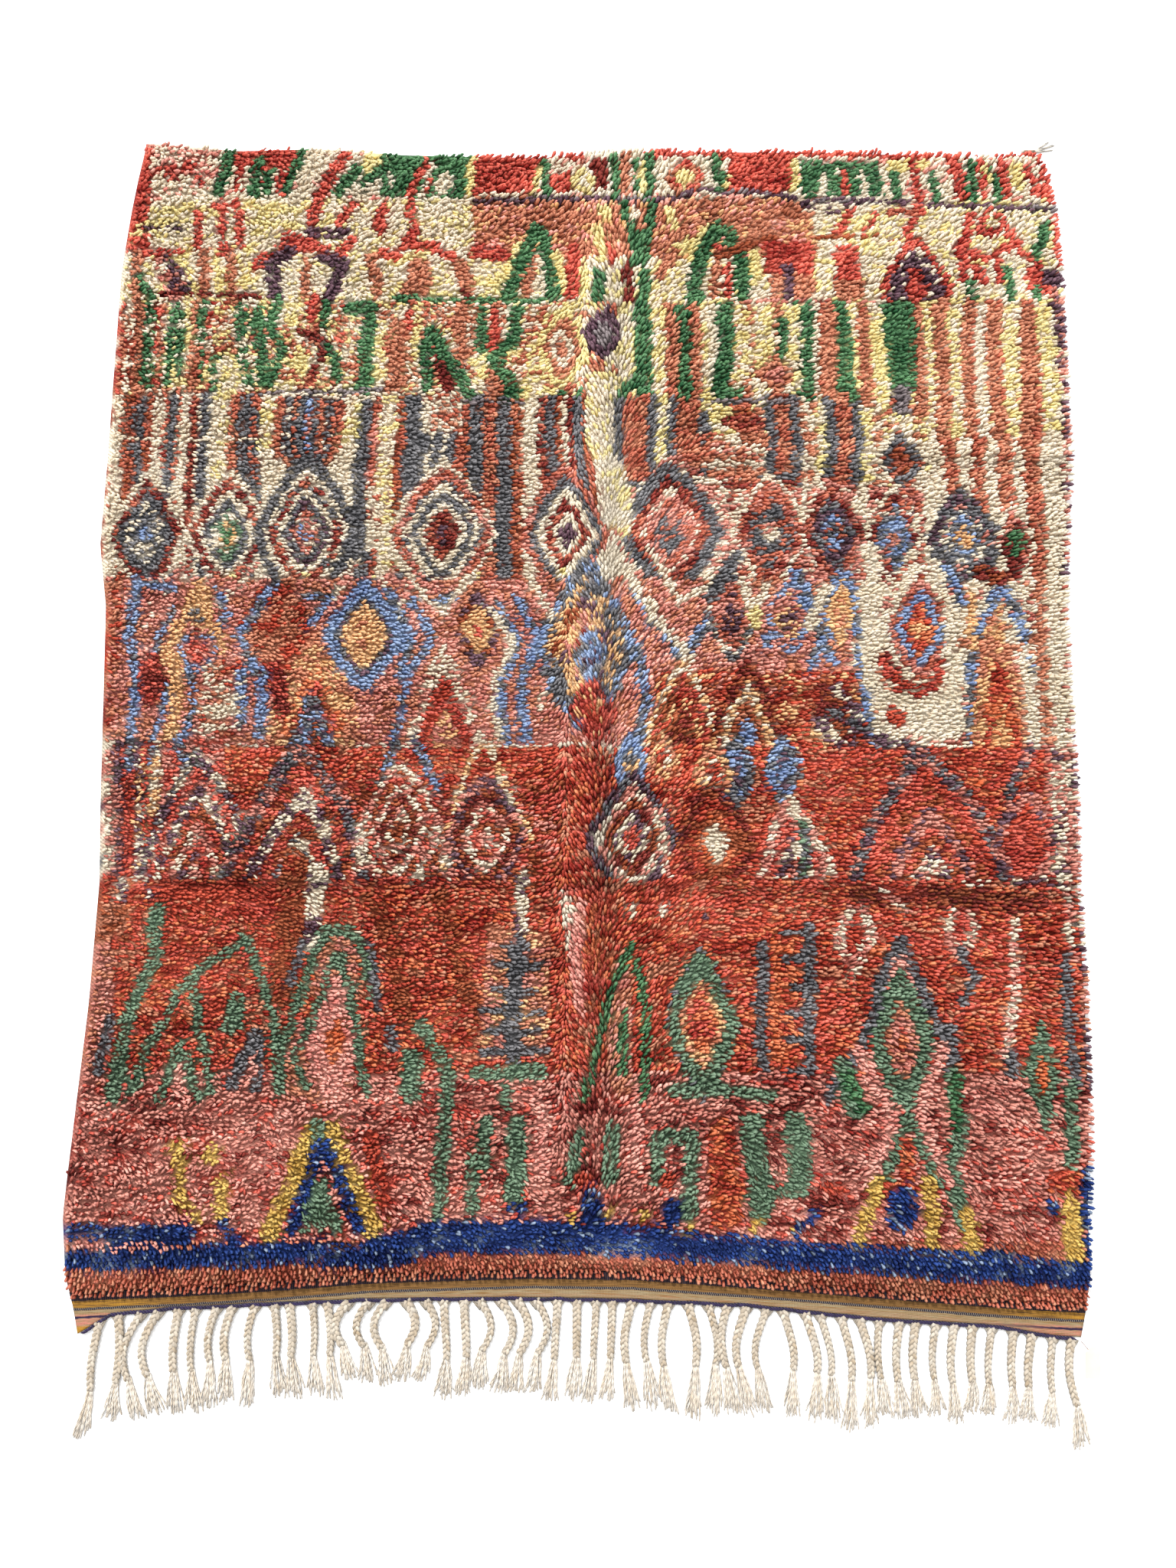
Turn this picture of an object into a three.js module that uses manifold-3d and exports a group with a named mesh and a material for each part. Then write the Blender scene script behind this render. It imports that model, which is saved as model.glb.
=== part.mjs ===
// A knotted wool pile rug lying flat on a floor, in millimetres with Z up and Y up the length of the rug.
// The origin is on the floor under the middle of the pile field.
import * as THREE from "three";
import { mergeGeometries, mergeVertices } from "three/addons/utils/BufferGeometryUtils.js";
import Module from "manifold-3d";

const wasm = await Module();
wasm.setup();

// Cloth and pile.
const fieldHalfWidth = 820;
const flatWeaveThickness = 3;
const pileHeight = 17;
const pileRimHeight = 8;
const pileRimWidth = 18;
const pileFootRun = 8;
const lumps = [
  { across: 190, along: 150, swell: 2.8 },
  { across: 84, along: 92, swell: 2.2 },
];
const columns = 34;
const rows = 40;

// The cloth's two long edges, from the flat-woven end up to the top.
const sideEdges = [
  { y: -1030, left: -800, right: 774 },
  { y: -981, left: -812, right: 786 },
  { y: -936, left: -828, right: 796 },
  { y: -844, left: -838, right: 797 },
  { y: -703, left: -829, right: 807 },
  { y: -511, left: -816, right: 812 },
  { y: -313, left: -810, right: 810 },
  { y: -212, left: -815, right: 815 },
  { y: 154, left: -824, right: 816 },
  { y: 262, left: -837, right: 824 },
  { y: 427, left: -829, right: 839 },
  { y: 768, left: -822, right: 842 },
  { y: 886, left: -809, right: 836 },
  { y: 945, left: -801, right: 826 },
  { y: 1010, left: -790, right: 806 },
];

// The three lines across the rug: the top edge, the foot of the pile and the edge of the flat weave.
const crossLines = [
  { x: -810, top: 1012, foot: -970, hem: -1030 },
  { x: -750, top: 1008, foot: -967, hem: -994 },
  { x: -650, top: 998, foot: -963, hem: -984 },
  { x: -500, top: 1002, foot: -955, hem: -977 },
  { x: -340, top: 990, foot: -943, hem: -971 },
  { x: -90, top: 983, foot: -936, hem: -969 },
  { x: 70, top: 993, foot: -938, hem: -972 },
  { x: 250, top: 995, foot: -950, hem: -980 },
  { x: 450, top: 993, foot: -965, hem: -1000 },
  { x: 620, top: 988, foot: -978, hem: -1009 },
  { x: 730, top: 981, foot: -985, hem: -1026 },
  { x: 800, top: 988, foot: -988, hem: -1031 },
];

// Soft troughs that folding left in the pile, each from one point of the field to another.
const creases = [
  { fromX: 60, fromY: 760, toX: 20, toY: -640, depth: 4, halfWidth: 46 },
  { fromX: -830, fromY: -85, toX: 10, toY: -80, depth: 4, halfWidth: 44 },
  { fromX: -830, fromY: -300, toX: 10, toY: -325, depth: 6, halfWidth: 46 },
  { fromX: 30, fromY: -320, toX: 820, toY: -365, depth: 6, halfWidth: 46 },
  { fromX: 60, fromY: 395, toX: 840, toY: 420, depth: 3, halfWidth: 44 },
];

// Locks of pile that stand out past the cloth at both sides and at the top.
const rimLock = { pitch: 62, inside: 10, reach: 11, halfWidth: 9, height: 7, tipShare: 0.35, lean: 8 };

// Twined edge cord and the braided warp ends that hang from it.
const edgeCord = { gap: 0.4, width: 7, height: 5, strandRise: 0.8, ends: 12 };
const hemTrim = { below: 60, past: 30, low: -1, heightAt: () => 30 };
const braidCount = 52;
const firstBraidX = -764;
const lastBraidX = 755;
const braid = { halfWidth: 6.2, height: 6.5, bulge: 1.1, steps: 5, rootInset: 4 };
const tasselLock = { halfWidth: 2.6, height: 4, tipShare: 0.6, fan: 8, root: 6 };
const braidClearance = 16;
const tasselClearance = 25;

// Runs of neighbouring braids that lie alike: sideways bow and lean of the plait, then its tassel's.
const braidRuns = [
  { count: 1, bow: -4, lean: -9, flare: -13, plait: 102, tassel: 72 },
  { count: 1, bow: 4, lean: 3, flare: -5, plait: 100, tassel: 60 },
  { count: 2, bow: -16, lean: -14, flare: 16, plait: 98, tassel: 60 },
  { count: 2, bow: -4, lean: -6, flare: 4, plait: 94, tassel: 70 },
  { count: 3, bow: -7, lean: -8, flare: -2, plait: 82, tassel: 70 },
  { count: 4, bow: 3, lean: 4, flare: 8, plait: 82, tassel: 66 },
  { count: 3, bow: -16, lean: -8, flare: 6, plait: 68, tassel: 56 },
  { count: 2, bow: 14, lean: 2, flare: -10, plait: 70, tassel: 56 },
  { count: 2, bow: 0, lean: 4, flare: -4, plait: 88, tassel: 60 },
  { count: 4, bow: 16, lean: 6, flare: -8, plait: 80, tassel: 60 },
  { count: 4, bow: 0, lean: -3, flare: -7, plait: 88, tassel: 68 },
  { count: 3, bow: -6, lean: -8, flare: 10, plait: 92, tassel: 74 },
  { count: 2, bow: 6, lean: 8, flare: -4, plait: 92, tassel: 82 },
  { count: 3, bow: -8, lean: -15, flare: 10, plait: 90, tassel: 74 },
  { count: 5, bow: 5, lean: 14, flare: -2, plait: 92, tassel: 76 },
  { count: 5, bow: -4, lean: -7, flare: 4, plait: 86, tassel: 62 },
  { count: 2, bow: -3, lean: -6, flare: -10, plait: 81, tassel: 52 },
  { count: 3, bow: -3, lean: -6, flare: -5, plait: 82, tassel: 56 },
  { count: 1, bow: -8, lean: 4, flare: 3, plait: 100, tassel: 71 },
];

// Wrapped bundle of warp ends at the top right corner, and its loose ends.
const tuft = { x: 786, y: 984.9, length: 20, halfWidth: 4, height: 7, strandRoot: 6 };
const tuftStrands = [
  { reachX: 44, reachY: 6 },
  { reachX: 49, reachY: 15 },
  { reachX: 37, reachY: 21 },
];
const tuftStrand = { halfWidth: 2, height: 3, tipShare: 0.7 };

// Blank woven tag at the lower right corner, held by a thread at its near corner.
const tag = { x: 779, y: -1041, width: 24, length: 46, thickness: 1, turn: -0.07, cornerCut: 8 };
const thread = { thickness: 1, reachX: -0.5, reachY: 19, inside: 4 };

const materials = {
  wool: new THREE.MeshStandardMaterial({ color: 0xb9674f, roughness: 0.95, metalness: 0 }),
  cotton: new THREE.MeshStandardMaterial({ color: 0xded2c0, roughness: 0.9, metalness: 0 }),
  tape: new THREE.MeshStandardMaterial({ color: 0xf2ede4, roughness: 0.7, metalness: 0 }),
};

const mix = (from, to, share) => from + (to - from) * share;
const clampShare = (value) => Math.min(1, Math.max(0, value));
const smooth = (value) => {
  const share = clampShare(value);
  return share * share * (3 - 2 * share);
};

// A repeatable number from 0 to 1 for each pair of whole numbers.
function chance(i, k) {
  const wave = Math.sin(i * 12.9898 + k * 78.233) * 43758.5453;
  return wave - Math.floor(wave);
}

// Value of one column of a table whose rows run in rising order of another column.
function tableAt(table, along, at, column) {
  const next = Math.max(1, table.findIndex((row) => row[along] >= at));
  const upper = at > table[table.length - 1][along] ? table[table.length - 1] : table[next];
  const lower = at > table[table.length - 1][along] ? upper : table[next - 1];
  const span = upper[along] - lower[along] || 1;
  return mix(lower[column], upper[column], clampShare((at - lower[along]) / span));
}

const topAt = (x) => tableAt(crossLines, "x", x, "top");
const footAt = (x) => tableAt(crossLines, "x", x, "foot");
const hemAt = (x) => tableAt(crossLines, "x", x, "hem");
const leftAt = (y) => tableAt(sideEdges, "y", y, "left");
const rightAt = (y) => tableAt(sideEdges, "y", y, "right");

// Smooth unevenness from -1 to 1 that repeats nowhere in the rug.
function swellAt(x, y, seed) {
  const i = Math.floor(x);
  const k = Math.floor(y);
  const u = smooth(x - i);
  const v = smooth(y - k);
  const low = mix(chance(i + seed, k), chance(i + 1 + seed, k), u);
  const high = mix(chance(i + seed, k + 1), chance(i + 1 + seed, k + 1), u);
  return mix(low, high, v) * 2 - 1;
}

// Height of the pile away from its rims.
function pileAt(x, y) {
  let height = pileHeight;
  lumps.forEach((lump, seed) => {
    height += lump.swell * swellAt(x / lump.across, y / lump.along, 17 * seed);
  });
  for (const crease of creases) {
    const runX = crease.toX - crease.fromX;
    const runY = crease.toY - crease.fromY;
    const along = (x - crease.fromX) * runX + (y - crease.fromY) * runY;
    const share = clampShare(along / (runX ** 2 + runY ** 2));
    const away = Math.hypot(x - crease.fromX - share * runX, y - crease.fromY - share * runY);
    height -= crease.depth * smooth(1 - away / crease.halfWidth);
  }
  return height;
}

// Turns a geometry into a closed solid for joining.
function solidOf(geometry) {
  const bare = geometry.clone();
  bare.deleteAttribute("normal");
  bare.deleteAttribute("uv");
  const merged = mergeVertices(bare, 1e-3);
  return new wasm.Manifold(new wasm.Mesh({
    numProp: 3,
    vertProperties: merged.getAttribute("position").array,
    triVerts: new Uint32Array(merged.index.array),
  }));
}

function geometryOf(solid) {
  const mesh = solid.getMesh();
  const geometry = new THREE.BufferGeometry();
  geometry.setAttribute("position", new THREE.BufferAttribute(new Float32Array(mesh.vertProperties), 3));
  geometry.setIndex(new THREE.BufferAttribute(new Uint32Array(mesh.triVerts), 1));
  geometry.computeVertexNormals();
  return geometry;
}

const joined = (solids) => solids.reduce((whole, next) => whole.add(next));

// A four-sided strand lying on the floor. The place function takes the share of the strand's length,
// the side as -1 or 1 and 0 below or 1 on top, and gives a point.
function strandSolid(steps, place) {
  const geometry = new THREE.BoxGeometry(1, 1, 1, 1, steps, 1);
  const position = geometry.getAttribute("position");
  for (let i = 0; i < position.count; i += 1) {
    const share = 0.5 - position.getY(i);
    const point = place(share, Math.sign(position.getX(i)), position.getZ(i) > 0 ? 1 : 0);
    position.setXYZ(i, point.x, point.y, point.z);
  }
  return solidOf(geometry);
}

// A straight tapering strand from a root on the floor plane to its tip.
function taperSolid(from, to, form) {
  const run = new THREE.Vector2(to.x - from.x, to.y - from.y).normalize();
  return strandSolid(1, (share, side, top) => {
    const taper = mix(1, form.tipShare, share);
    const out = side * form.halfWidth * taper * (top ? 0.7 : 1);
    return {
      x: mix(from.x, to.x, share) - run.y * out,
      y: mix(from.y, to.y, share) + run.x * out,
      z: top * form.height * taper,
    };
  });
}

// The cloth and its pile as one uneven slab, stepping down to the flat-woven end.
function slabSolid() {
  const top = new THREE.PlaneGeometry(1, 1, columns, rows);
  const position = top.getAttribute("position");
  const across = columns + 1;
  for (let i = 0; i < position.count; i += 1) {
    const column = i % across;
    const row = rows - Math.floor(i / across);
    const atRim = column === 0 || column === columns || row === rows;
    const share = column === 0 || column === columns ? column / columns : (column - 1) / (columns - 2);
    const x0 = mix(-fieldHalfWidth, fieldHalfWidth, share);
    const foot = footAt(x0);
    const last = topAt(x0) - rimLock.reach * 0.6;
    let y = mix(foot + pileFootRun, last - pileRimWidth, (row - 2) / (rows - 3));
    if (row === 0) y = hemAt(x0) - edgeCord.width;
    if (row === 1) y = foot;
    if (row === rows) y = last + 2 * (chance(column, 3) - 0.5);
    const inset = row < 2 ? 0 : rimLock.reach * 0.6 + 2 * (chance(row, column) - 0.5);
    const rimStep = column === 0 || column === columns ? 0 : pileRimWidth;
    const x = mix(leftAt(y) + inset + rimStep, rightAt(y) - inset - rimStep, share);
    let z = pileAt(x, y);
    if (atRim) z = pileRimHeight + 2 * chance(row, column);
    if (row < 2) z = flatWeaveThickness;
    position.setXYZ(i, x, y, z);
  }
  return closedBelow(top, across);
}

// Closes an uneven sheet with a wall round it and a flat underside on the floor.
function closedBelow(top, across) {
  const position = top.getAttribute("position");
  const rim = [];
  for (let column = 0; column < columns; column += 1) rim.push(rows * across + column);
  for (let row = rows; row > 0; row -= 1) rim.push(row * across + columns);
  for (let column = columns; column > 0; column -= 1) rim.push(column);
  for (let row = 0; row < rows; row += 1) rim.push(row * across);
  const points = rim.map((i) => new THREE.Vector3().fromBufferAttribute(position, i));
  const corners = [];
  points.forEach((point, i) => {
    const next = points[(i + 1) % points.length];
    corners.push(point.x, point.y, 0, next.x, next.y, 0, next.x, next.y, next.z);
    corners.push(point.x, point.y, 0, next.x, next.y, next.z, point.x, point.y, point.z);
  });
  const flat = points.map((point) => new THREE.Vector2(point.x, point.y));
  for (const [a, b, c] of THREE.ShapeUtils.triangulateShape(flat, [])) {
    for (const i of [a, c, b]) corners.push(flat[i].x, flat[i].y, 0);
  }
  const shell = new THREE.BufferGeometry();
  shell.setAttribute("position", new THREE.Float32BufferAttribute(corners, 3));
  const lid = top.toNonIndexed();
  lid.deleteAttribute("normal");
  lid.deleteAttribute("uv");
  return solidOf(mergeVertices(mergeGeometries([lid, shell]), 1e-3));
}

// One lock of pile past the rim, at a point of the outline with its outward direction.
function rimLockSolid(x, y, outX, outY, seed) {
  const lean = rimLock.lean * (chance(seed, 5) - 0.3);
  const reach = rimLock.reach * mix(0.7, 1, chance(seed, 9)) - rimLock.reach * 0.6;
  const depth = rimLock.inside + rimLock.reach;
  const from = { x: x - outX * depth, y: y - outY * depth };
  const to = { x: x + outX * reach + outY * lean, y: y + outY * reach - outX * lean };
  return taperSolid(from, to, rimLock);
}

// A strip that follows the hem line: how far it reaches above and below it and past the cord's ends,
// its underside and the height of each step.
function hemSolid(form) {
  const steps = braidCount * 2;
  const startX = leftAt(hemAt(-fieldHalfWidth)) + edgeCord.ends;
  const endX = rightAt(hemAt(fieldHalfWidth)) - edgeCord.ends;
  return strandSolid(steps, (share, side, top) => {
    const step = Math.round(share * steps);
    let x = mix(startX, endX, share);
    if (step === 0) x -= form.past;
    if (step === steps) x += form.past;
    return {
      x,
      y: hemAt(x) + (side > 0 ? form.above : -form.below),
      z: top ? form.heightAt(step) : form.low,
    };
  });
}

function rugSolid() {
  const parts = [slabSolid()];
  const sideLocks = Math.floor((topAt(0) - footAt(0) - 2 * pileRimWidth) / rimLock.pitch);
  for (let i = 0; i <= sideLocks; i += 1) {
    const share = (i + 0.35 * (chance(i, 1) - 0.5)) / sideLocks;
    const y = mix(footAt(-fieldHalfWidth) + 2 * pileRimWidth, topAt(0) - 2 * pileRimWidth, share);
    parts.push(rimLockSolid(leftAt(y) - 2, y, -1, 0, i));
    parts.push(rimLockSolid(rightAt(y) + 2, y, 1, 0, i + 100));
  }
  const topLocks = Math.floor((2 * fieldHalfWidth - 6 * pileRimWidth) / rimLock.pitch);
  for (let i = 0; i <= topLocks; i += 1) {
    const share = (i + 0.35 * (chance(i, 2) - 0.5)) / topLocks;
    const x = mix(-fieldHalfWidth + 3 * pileRimWidth, fieldHalfWidth - 5 * pileRimWidth, share);
    parts.push(rimLockSolid(x, topAt(x) + 2, 0, 1, i + 200));
  }
  return joined(parts).subtract(hemSolid({ above: edgeCord.width / 2 + edgeCord.gap, ...hemTrim }));
}

// Where each braid starts, ends and spreads, kept apart from its neighbour on the left.
function braidRoutes() {
  const routes = [];
  const runs = braidRuns.flatMap((run) => Array(run.count).fill(run));
  runs.forEach((run, i) => {
    const rootX = mix(firstBraidX, lastBraidX, (i + 0.25 * (chance(i, 7) - 0.5)) / (braidCount - 1));
    const before = routes[i - 1];
    const sway = 5 * (chance(i, 11) - 0.5);
    const plaitX = Math.max(rootX + run.lean + sway, before ? before.plaitX + braidClearance : -Infinity);
    const tipX = Math.max(plaitX + run.flare, before ? before.tipX + tasselClearance : -Infinity);
    const rootY = hemAt(rootX);
    const plaitY = rootY - run.plait - 7 * (chance(i, 13) - 0.5);
    const tipY = plaitY - run.tassel - 7 * (chance(i, 19) - 0.5);
    routes.push({ rootX, rootY, bow: run.bow, plaitX, plaitY, tipX, tipY });
  });
  return routes;
}

// A plait with the middle lock of its tassel as its last step.
function plaitSolid(route) {
  const rootY = route.rootY + edgeCord.width / 2 - braid.rootInset;
  return strandSolid(braid.steps + 1, (whole, side, top) => {
    const step = Math.round(whole * (braid.steps + 1));
    if (step > braid.steps) {
      const out = side * tasselLock.halfWidth * tasselLock.tipShare;
      return { x: route.tipX + out, y: route.tipY, z: top * tasselLock.height * tasselLock.tipShare };
    }
    const share = step / braid.steps;
    const swing = Math.sin(Math.PI * share) * route.bow;
    const bulge = step % 2 === 0 ? braid.bulge : -braid.bulge;
    const out = side * (braid.halfWidth + side * bulge) * (top ? 0.62 : 1);
    return {
      x: mix(route.rootX, route.plaitX, smooth(share)) + swing + out,
      y: mix(rootY, route.plaitY, share),
      z: top * (braid.height + 0.5 * bulge * side),
    };
  });
}

// The two outer locks of a tassel.
function tasselSolids(route) {
  return [-1, 1].map((side) => taperSolid(
    { x: route.plaitX + side * tasselLock.halfWidth, y: route.plaitY + tasselLock.root },
    { x: route.tipX + side * tasselLock.fan, y: route.tipY + tasselLock.halfWidth },
    tasselLock,
  ));
}

// The edge cord along the flat-woven end with every braid and tassel fused to it.
function fringeSolid() {
  const half = edgeCord.width / 2;
  const heightAt = (step) => edgeCord.height + (step % 2) * edgeCord.strandRise;
  const cord = hemSolid({ above: half, below: half, past: 0, low: 0, heightAt });
  const strands = braidRoutes().flatMap((route) => [plaitSolid(route), ...tasselSolids(route)]);
  return joined([cord, ...strands]);
}

function tuftSolid() {
  const end = { x: tuft.x + tuft.length, y: tuft.y + 2 };
  const bundle = taperSolid({ x: tuft.x, y: tuft.y }, end, { ...tuft, tipShare: 0.9 });
  const ends = tuftStrands.map((strand) => taperSolid(
    { x: end.x - tuft.strandRoot, y: end.y },
    { x: end.x + strand.reachX - tuft.strandRoot, y: end.y + strand.reachY },
    tuftStrand,
  ));
  return joined([bundle, ...ends]);
}

// A flat tag with cut corners at its thread end, and the thread that held it to the cloth.
function tagSolid() {
  const outline = new THREE.Shape();
  outline.moveTo(0, 0);
  outline.lineTo(tag.width - tag.cornerCut, 0);
  outline.lineTo(tag.width, -tag.cornerCut);
  outline.lineTo(tag.width, -tag.length);
  outline.lineTo(0, -tag.length);
  outline.closePath();
  const face = new THREE.ExtrudeGeometry(outline, { depth: tag.thickness, bevelEnabled: false });
  face.rotateZ(tag.turn);
  face.translate(tag.x, tag.y, 0);
  const lead = taperSolid(
    { x: tag.x + thread.inside, y: tag.y - thread.inside },
    { x: tag.x + thread.reachX, y: tag.y + thread.reachY },
    { halfWidth: thread.thickness, height: thread.thickness, tipShare: 0.8 },
  );
  return joined([solidOf(face), lead]);
}

const group = new THREE.Group();
const nodes = [
  { name: "rug", solid: rugSolid(), material: materials.wool },
  { name: "fringe", solid: fringeSolid(), material: materials.cotton },
  { name: "corner_tuft", solid: tuftSolid(), material: materials.cotton },
  { name: "corner_tag", solid: tagSolid(), material: materials.tape },
];
for (const node of nodes) {
  const mesh = new THREE.Mesh(geometryOf(node.solid), node.material);
  mesh.name = node.name;
  group.add(mesh);
}

export default group;
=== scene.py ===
import math

import bmesh
import bpy
import numpy as np
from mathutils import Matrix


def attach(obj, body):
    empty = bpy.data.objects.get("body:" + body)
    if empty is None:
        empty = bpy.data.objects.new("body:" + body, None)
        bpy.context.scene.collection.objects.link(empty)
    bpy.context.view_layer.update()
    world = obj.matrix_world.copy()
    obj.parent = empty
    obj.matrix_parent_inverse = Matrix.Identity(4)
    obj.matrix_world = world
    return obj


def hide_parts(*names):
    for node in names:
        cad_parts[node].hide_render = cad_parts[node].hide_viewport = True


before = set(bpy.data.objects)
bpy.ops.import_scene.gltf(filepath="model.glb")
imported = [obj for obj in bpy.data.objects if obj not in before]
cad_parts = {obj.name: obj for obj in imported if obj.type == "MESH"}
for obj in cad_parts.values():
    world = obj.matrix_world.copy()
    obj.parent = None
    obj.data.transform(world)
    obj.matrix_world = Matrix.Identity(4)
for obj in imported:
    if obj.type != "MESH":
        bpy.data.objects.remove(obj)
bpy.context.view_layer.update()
mm = 0.001  # shapes below are worked out in millimetres and written in metres
draw = np.random.default_rng(41)


# Small sums that the shapes share.
def mix(low, high, share):
    return low + (high - low) * share


def smooth(value):
    share = np.clip(value, 0, 1)
    return share * share * (3 - 2 * share)


def chance(i, k):
    wave = np.sin(i * 12.9898 + k * 78.233) * 43758.5453
    return wave - np.floor(wave)


def swellAt(x, y, seed):
    i, k = np.floor(x), np.floor(y)
    u, v = smooth(x - i), smooth(y - k)
    low = mix(chance(i + seed, k), chance(i + 1 + seed, k), u)
    high = mix(chance(i + seed, k + 1), chance(i + 1 + seed, k + 1), u)
    return mix(low, high, v) * 2 - 1


def unit(vectors):
    return vectors / np.maximum(np.linalg.norm(vectors, axis=-1, keepdims=True), 1e-9)


def clearSelection():
    if bpy.context.object and bpy.context.object.mode != "OBJECT":
        bpy.ops.object.mode_set(mode="OBJECT")
    bpy.ops.object.select_all(action="DESELECT")


# The corners of a piece's mesh are read in metres and placed in millimetres.
def cornersOf(piece):
    points = np.empty(len(piece.data.vertices) * 3)
    piece.data.vertices.foreach_get("co", points)
    return points.reshape(-1, 3)


def placeCorners(piece, points):
    piece.data.vertices.foreach_set("co", (points * mm).ravel())


# A new flat grid, with each corner's shares across and up it from 0 to 1.
def addGrid(name, columns, rows):
    clearSelection()
    bpy.ops.mesh.primitive_grid_add(x_subdivisions=columns, y_subdivisions=rows, size=2)
    sheet = bpy.context.object
    sheet.name = sheet.data.name = name
    share = cornersOf(sheet) / 2 + 0.5
    return sheet, share[:, 0], share[:, 1]


def thicken(sheet, thickness):
    wall = sheet.modifiers.new("thickness", "SOLIDIFY")
    wall.thickness = thickness * mm
    wall.offset = 1
    bpy.ops.object.modifier_apply(modifier=wall.name)


def dropFlatMaps(sheet):
    while sheet.data.uv_layers:
        sheet.data.uv_layers.remove(sheet.data.uv_layers[0])


# How far places lie from the straight line between two points.
def awayFromLine(x, y, fromX, fromY, toX, toY):
    runX, runY = toX - fromX, toY - fromY
    share = np.clip(((x - fromX) * runX + (y - fromY) * runY) / (runX**2 + runY**2), 0, 1)
    return np.hypot(x - fromX - share * runX, y - fromY - share * runY)


# Shader maths as plain expressions: a wire is one output socket.
class Wire:
    def __init__(self, board, socket):
        self.board = board
        self.socket = socket

    def math(self, operation, first, second=0.0, clamp=False):
        settings = {"operation": operation, "use_clamp": clamp}
        return self.board.add("ShaderNodeMath", settings, {0: first, 1: second})

    def __add__(self, other):
        return self.math("ADD", self, other)

    def __sub__(self, other):
        return self.math("SUBTRACT", self, other)

    def __rsub__(self, other):
        return self.math("SUBTRACT", other, self)

    def __mul__(self, other):
        return self.math("MULTIPLY", self, other)

    __radd__ = __add__
    __rmul__ = __mul__

    def wave(self):
        return self.math("SINE", self)

    def above(self, edge, soft):
        return self.math("MULTIPLY", self - edge, 1 / soft, clamp=True)


class Board:
    def __init__(self, name):
        self.material = bpy.data.materials.new(name)
        self.material.use_nodes = True
        self.tree = self.material.node_tree
        self.tree.nodes.clear()

    def add(self, kind, settings=None, inputs=None, output=0):
        node = self.tree.nodes.new(kind)
        for key, value in (settings or {}).items():
            if key == "stops":
                self.setStops(node.color_ramp, value)
            else:
                setattr(node, key, value)
        for key, value in (inputs or {}).items():
            if isinstance(value, Wire):
                self.tree.links.new(value.socket, node.inputs[key])
            else:
                node.inputs[key].default_value = value
        return Wire(self, node.outputs[output])

    def setStops(self, ramp, stops):
        while len(ramp.elements) < len(stops):
            ramp.elements.new(1.0)
        for element, (place, colour) in zip(ramp.elements, stops):
            element.position = place
            element.color = colour

    def attribute(self, name, output="Vector"):
        return self.add("ShaderNodeAttribute", {"attribute_name": name}, output=output)

    def split(self, vector):
        parts = self.add("ShaderNodeSeparateXYZ", inputs={0: vector}).socket.node.outputs
        return [Wire(self, part) for part in parts]

    def join(self, x, y, z):
        return self.add("ShaderNodeCombineXYZ", inputs={0: x, 1: y, 2: z})

    def noise(self, vector, scale, detail=2.0):
        inputs = {"Vector": vector, "Scale": scale, "Detail": detail}
        return self.add("ShaderNodeTexNoise", inputs=inputs)

    def blend(self, share, first, second, mode="MIX"):
        settings = {"data_type": "RGBA", "blend_type": mode}
        node = self.add("ShaderNodeMix", settings).socket.node
        for key, value in ((0, share), (6, first), (7, second)):
            if isinstance(value, Wire):
                self.tree.links.new(value.socket, node.inputs[key])
            else:
                node.inputs[key].default_value = value
        return Wire(self, node.outputs[2])

    def shaded(self, colour, strength):
        return self.blend(1.0, colour, self.join(strength, strength, strength), "MULTIPLY")

    def finish(self, colour, height, bump, constants):
        inputs = {"Height": height, "Distance": bump}
        normal = self.add("ShaderNodeBump", inputs=inputs)
        inputs = {"Base Color": colour, "Normal": normal, **constants}
        surface = self.add("ShaderNodeBsdfPrincipled", inputs=inputs)
        out = self.tree.nodes.new("ShaderNodeOutputMaterial")
        self.tree.links.new(surface.socket, out.inputs["Surface"])
        return self.material


def linearOf(colour):
    values = np.asarray(colour, float) / 255
    return np.where(values <= 0.04045, values / 12.92, ((values + 0.055) / 1.055) ** 2.4)


def inkOf(colour):
    return (*linearOf(colour), 1.0)


# Camera, light and floor.
studio = {
    "cameraPlace": (0, -0.425, 1.95),
    "cameraTiltDegrees": 8,
    "lens": 27.03,
    "sunStrength": 4.0,
    "sunAngleDegrees": 12,
    "sunTurnDegrees": (-42, -22, 0),
    "skyStrength": 1.2,
    "floorSize": 14,
    "floorColour": (250, 250, 250),
}


def buildStudio():
    clearSelection()
    turn = (math.radians(studio["cameraTiltDegrees"]), 0, 0)
    bpy.ops.object.camera_add(location=studio["cameraPlace"], rotation=turn)
    camera = bpy.context.object
    camera.data.lens = studio["lens"]
    camera.data.sensor_width = 36
    bpy.context.scene.camera = camera
    turn = [math.radians(angle) for angle in studio["sunTurnDegrees"]]
    bpy.ops.object.light_add(type="SUN", location=(-2, 2, 4), rotation=turn)
    sun = bpy.context.object.data
    sun.energy = studio["sunStrength"]
    sun.angle = math.radians(studio["sunAngleDegrees"])
    world = bpy.data.worlds.new("softSky")
    world.use_nodes = True
    world.node_tree.nodes["Background"].inputs[0].default_value = (1, 1, 1, 1)
    world.node_tree.nodes["Background"].inputs[1].default_value = studio["skyStrength"]
    bpy.context.scene.world = world
    bpy.context.scene.view_settings.view_transform = "Standard"
    clearSelection()
    bpy.ops.mesh.primitive_plane_add(size=studio["floorSize"], location=(0, 0, 0))
    floor = bpy.context.object
    floor.name = "studioFloor"
    board = Board("paleFloor")
    place = board.add("ShaderNodeTexCoord", output="Object")
    cloud = board.noise(place, 3.0)
    pale = inkOf(studio["floorColour"])
    colour = board.shaded(pale, cloud * 0.02 + 0.98)
    floor.data.materials.append(board.finish(colour, cloud, 0.0005, {"Roughness": 0.9}))
    print("studio ready")


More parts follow.
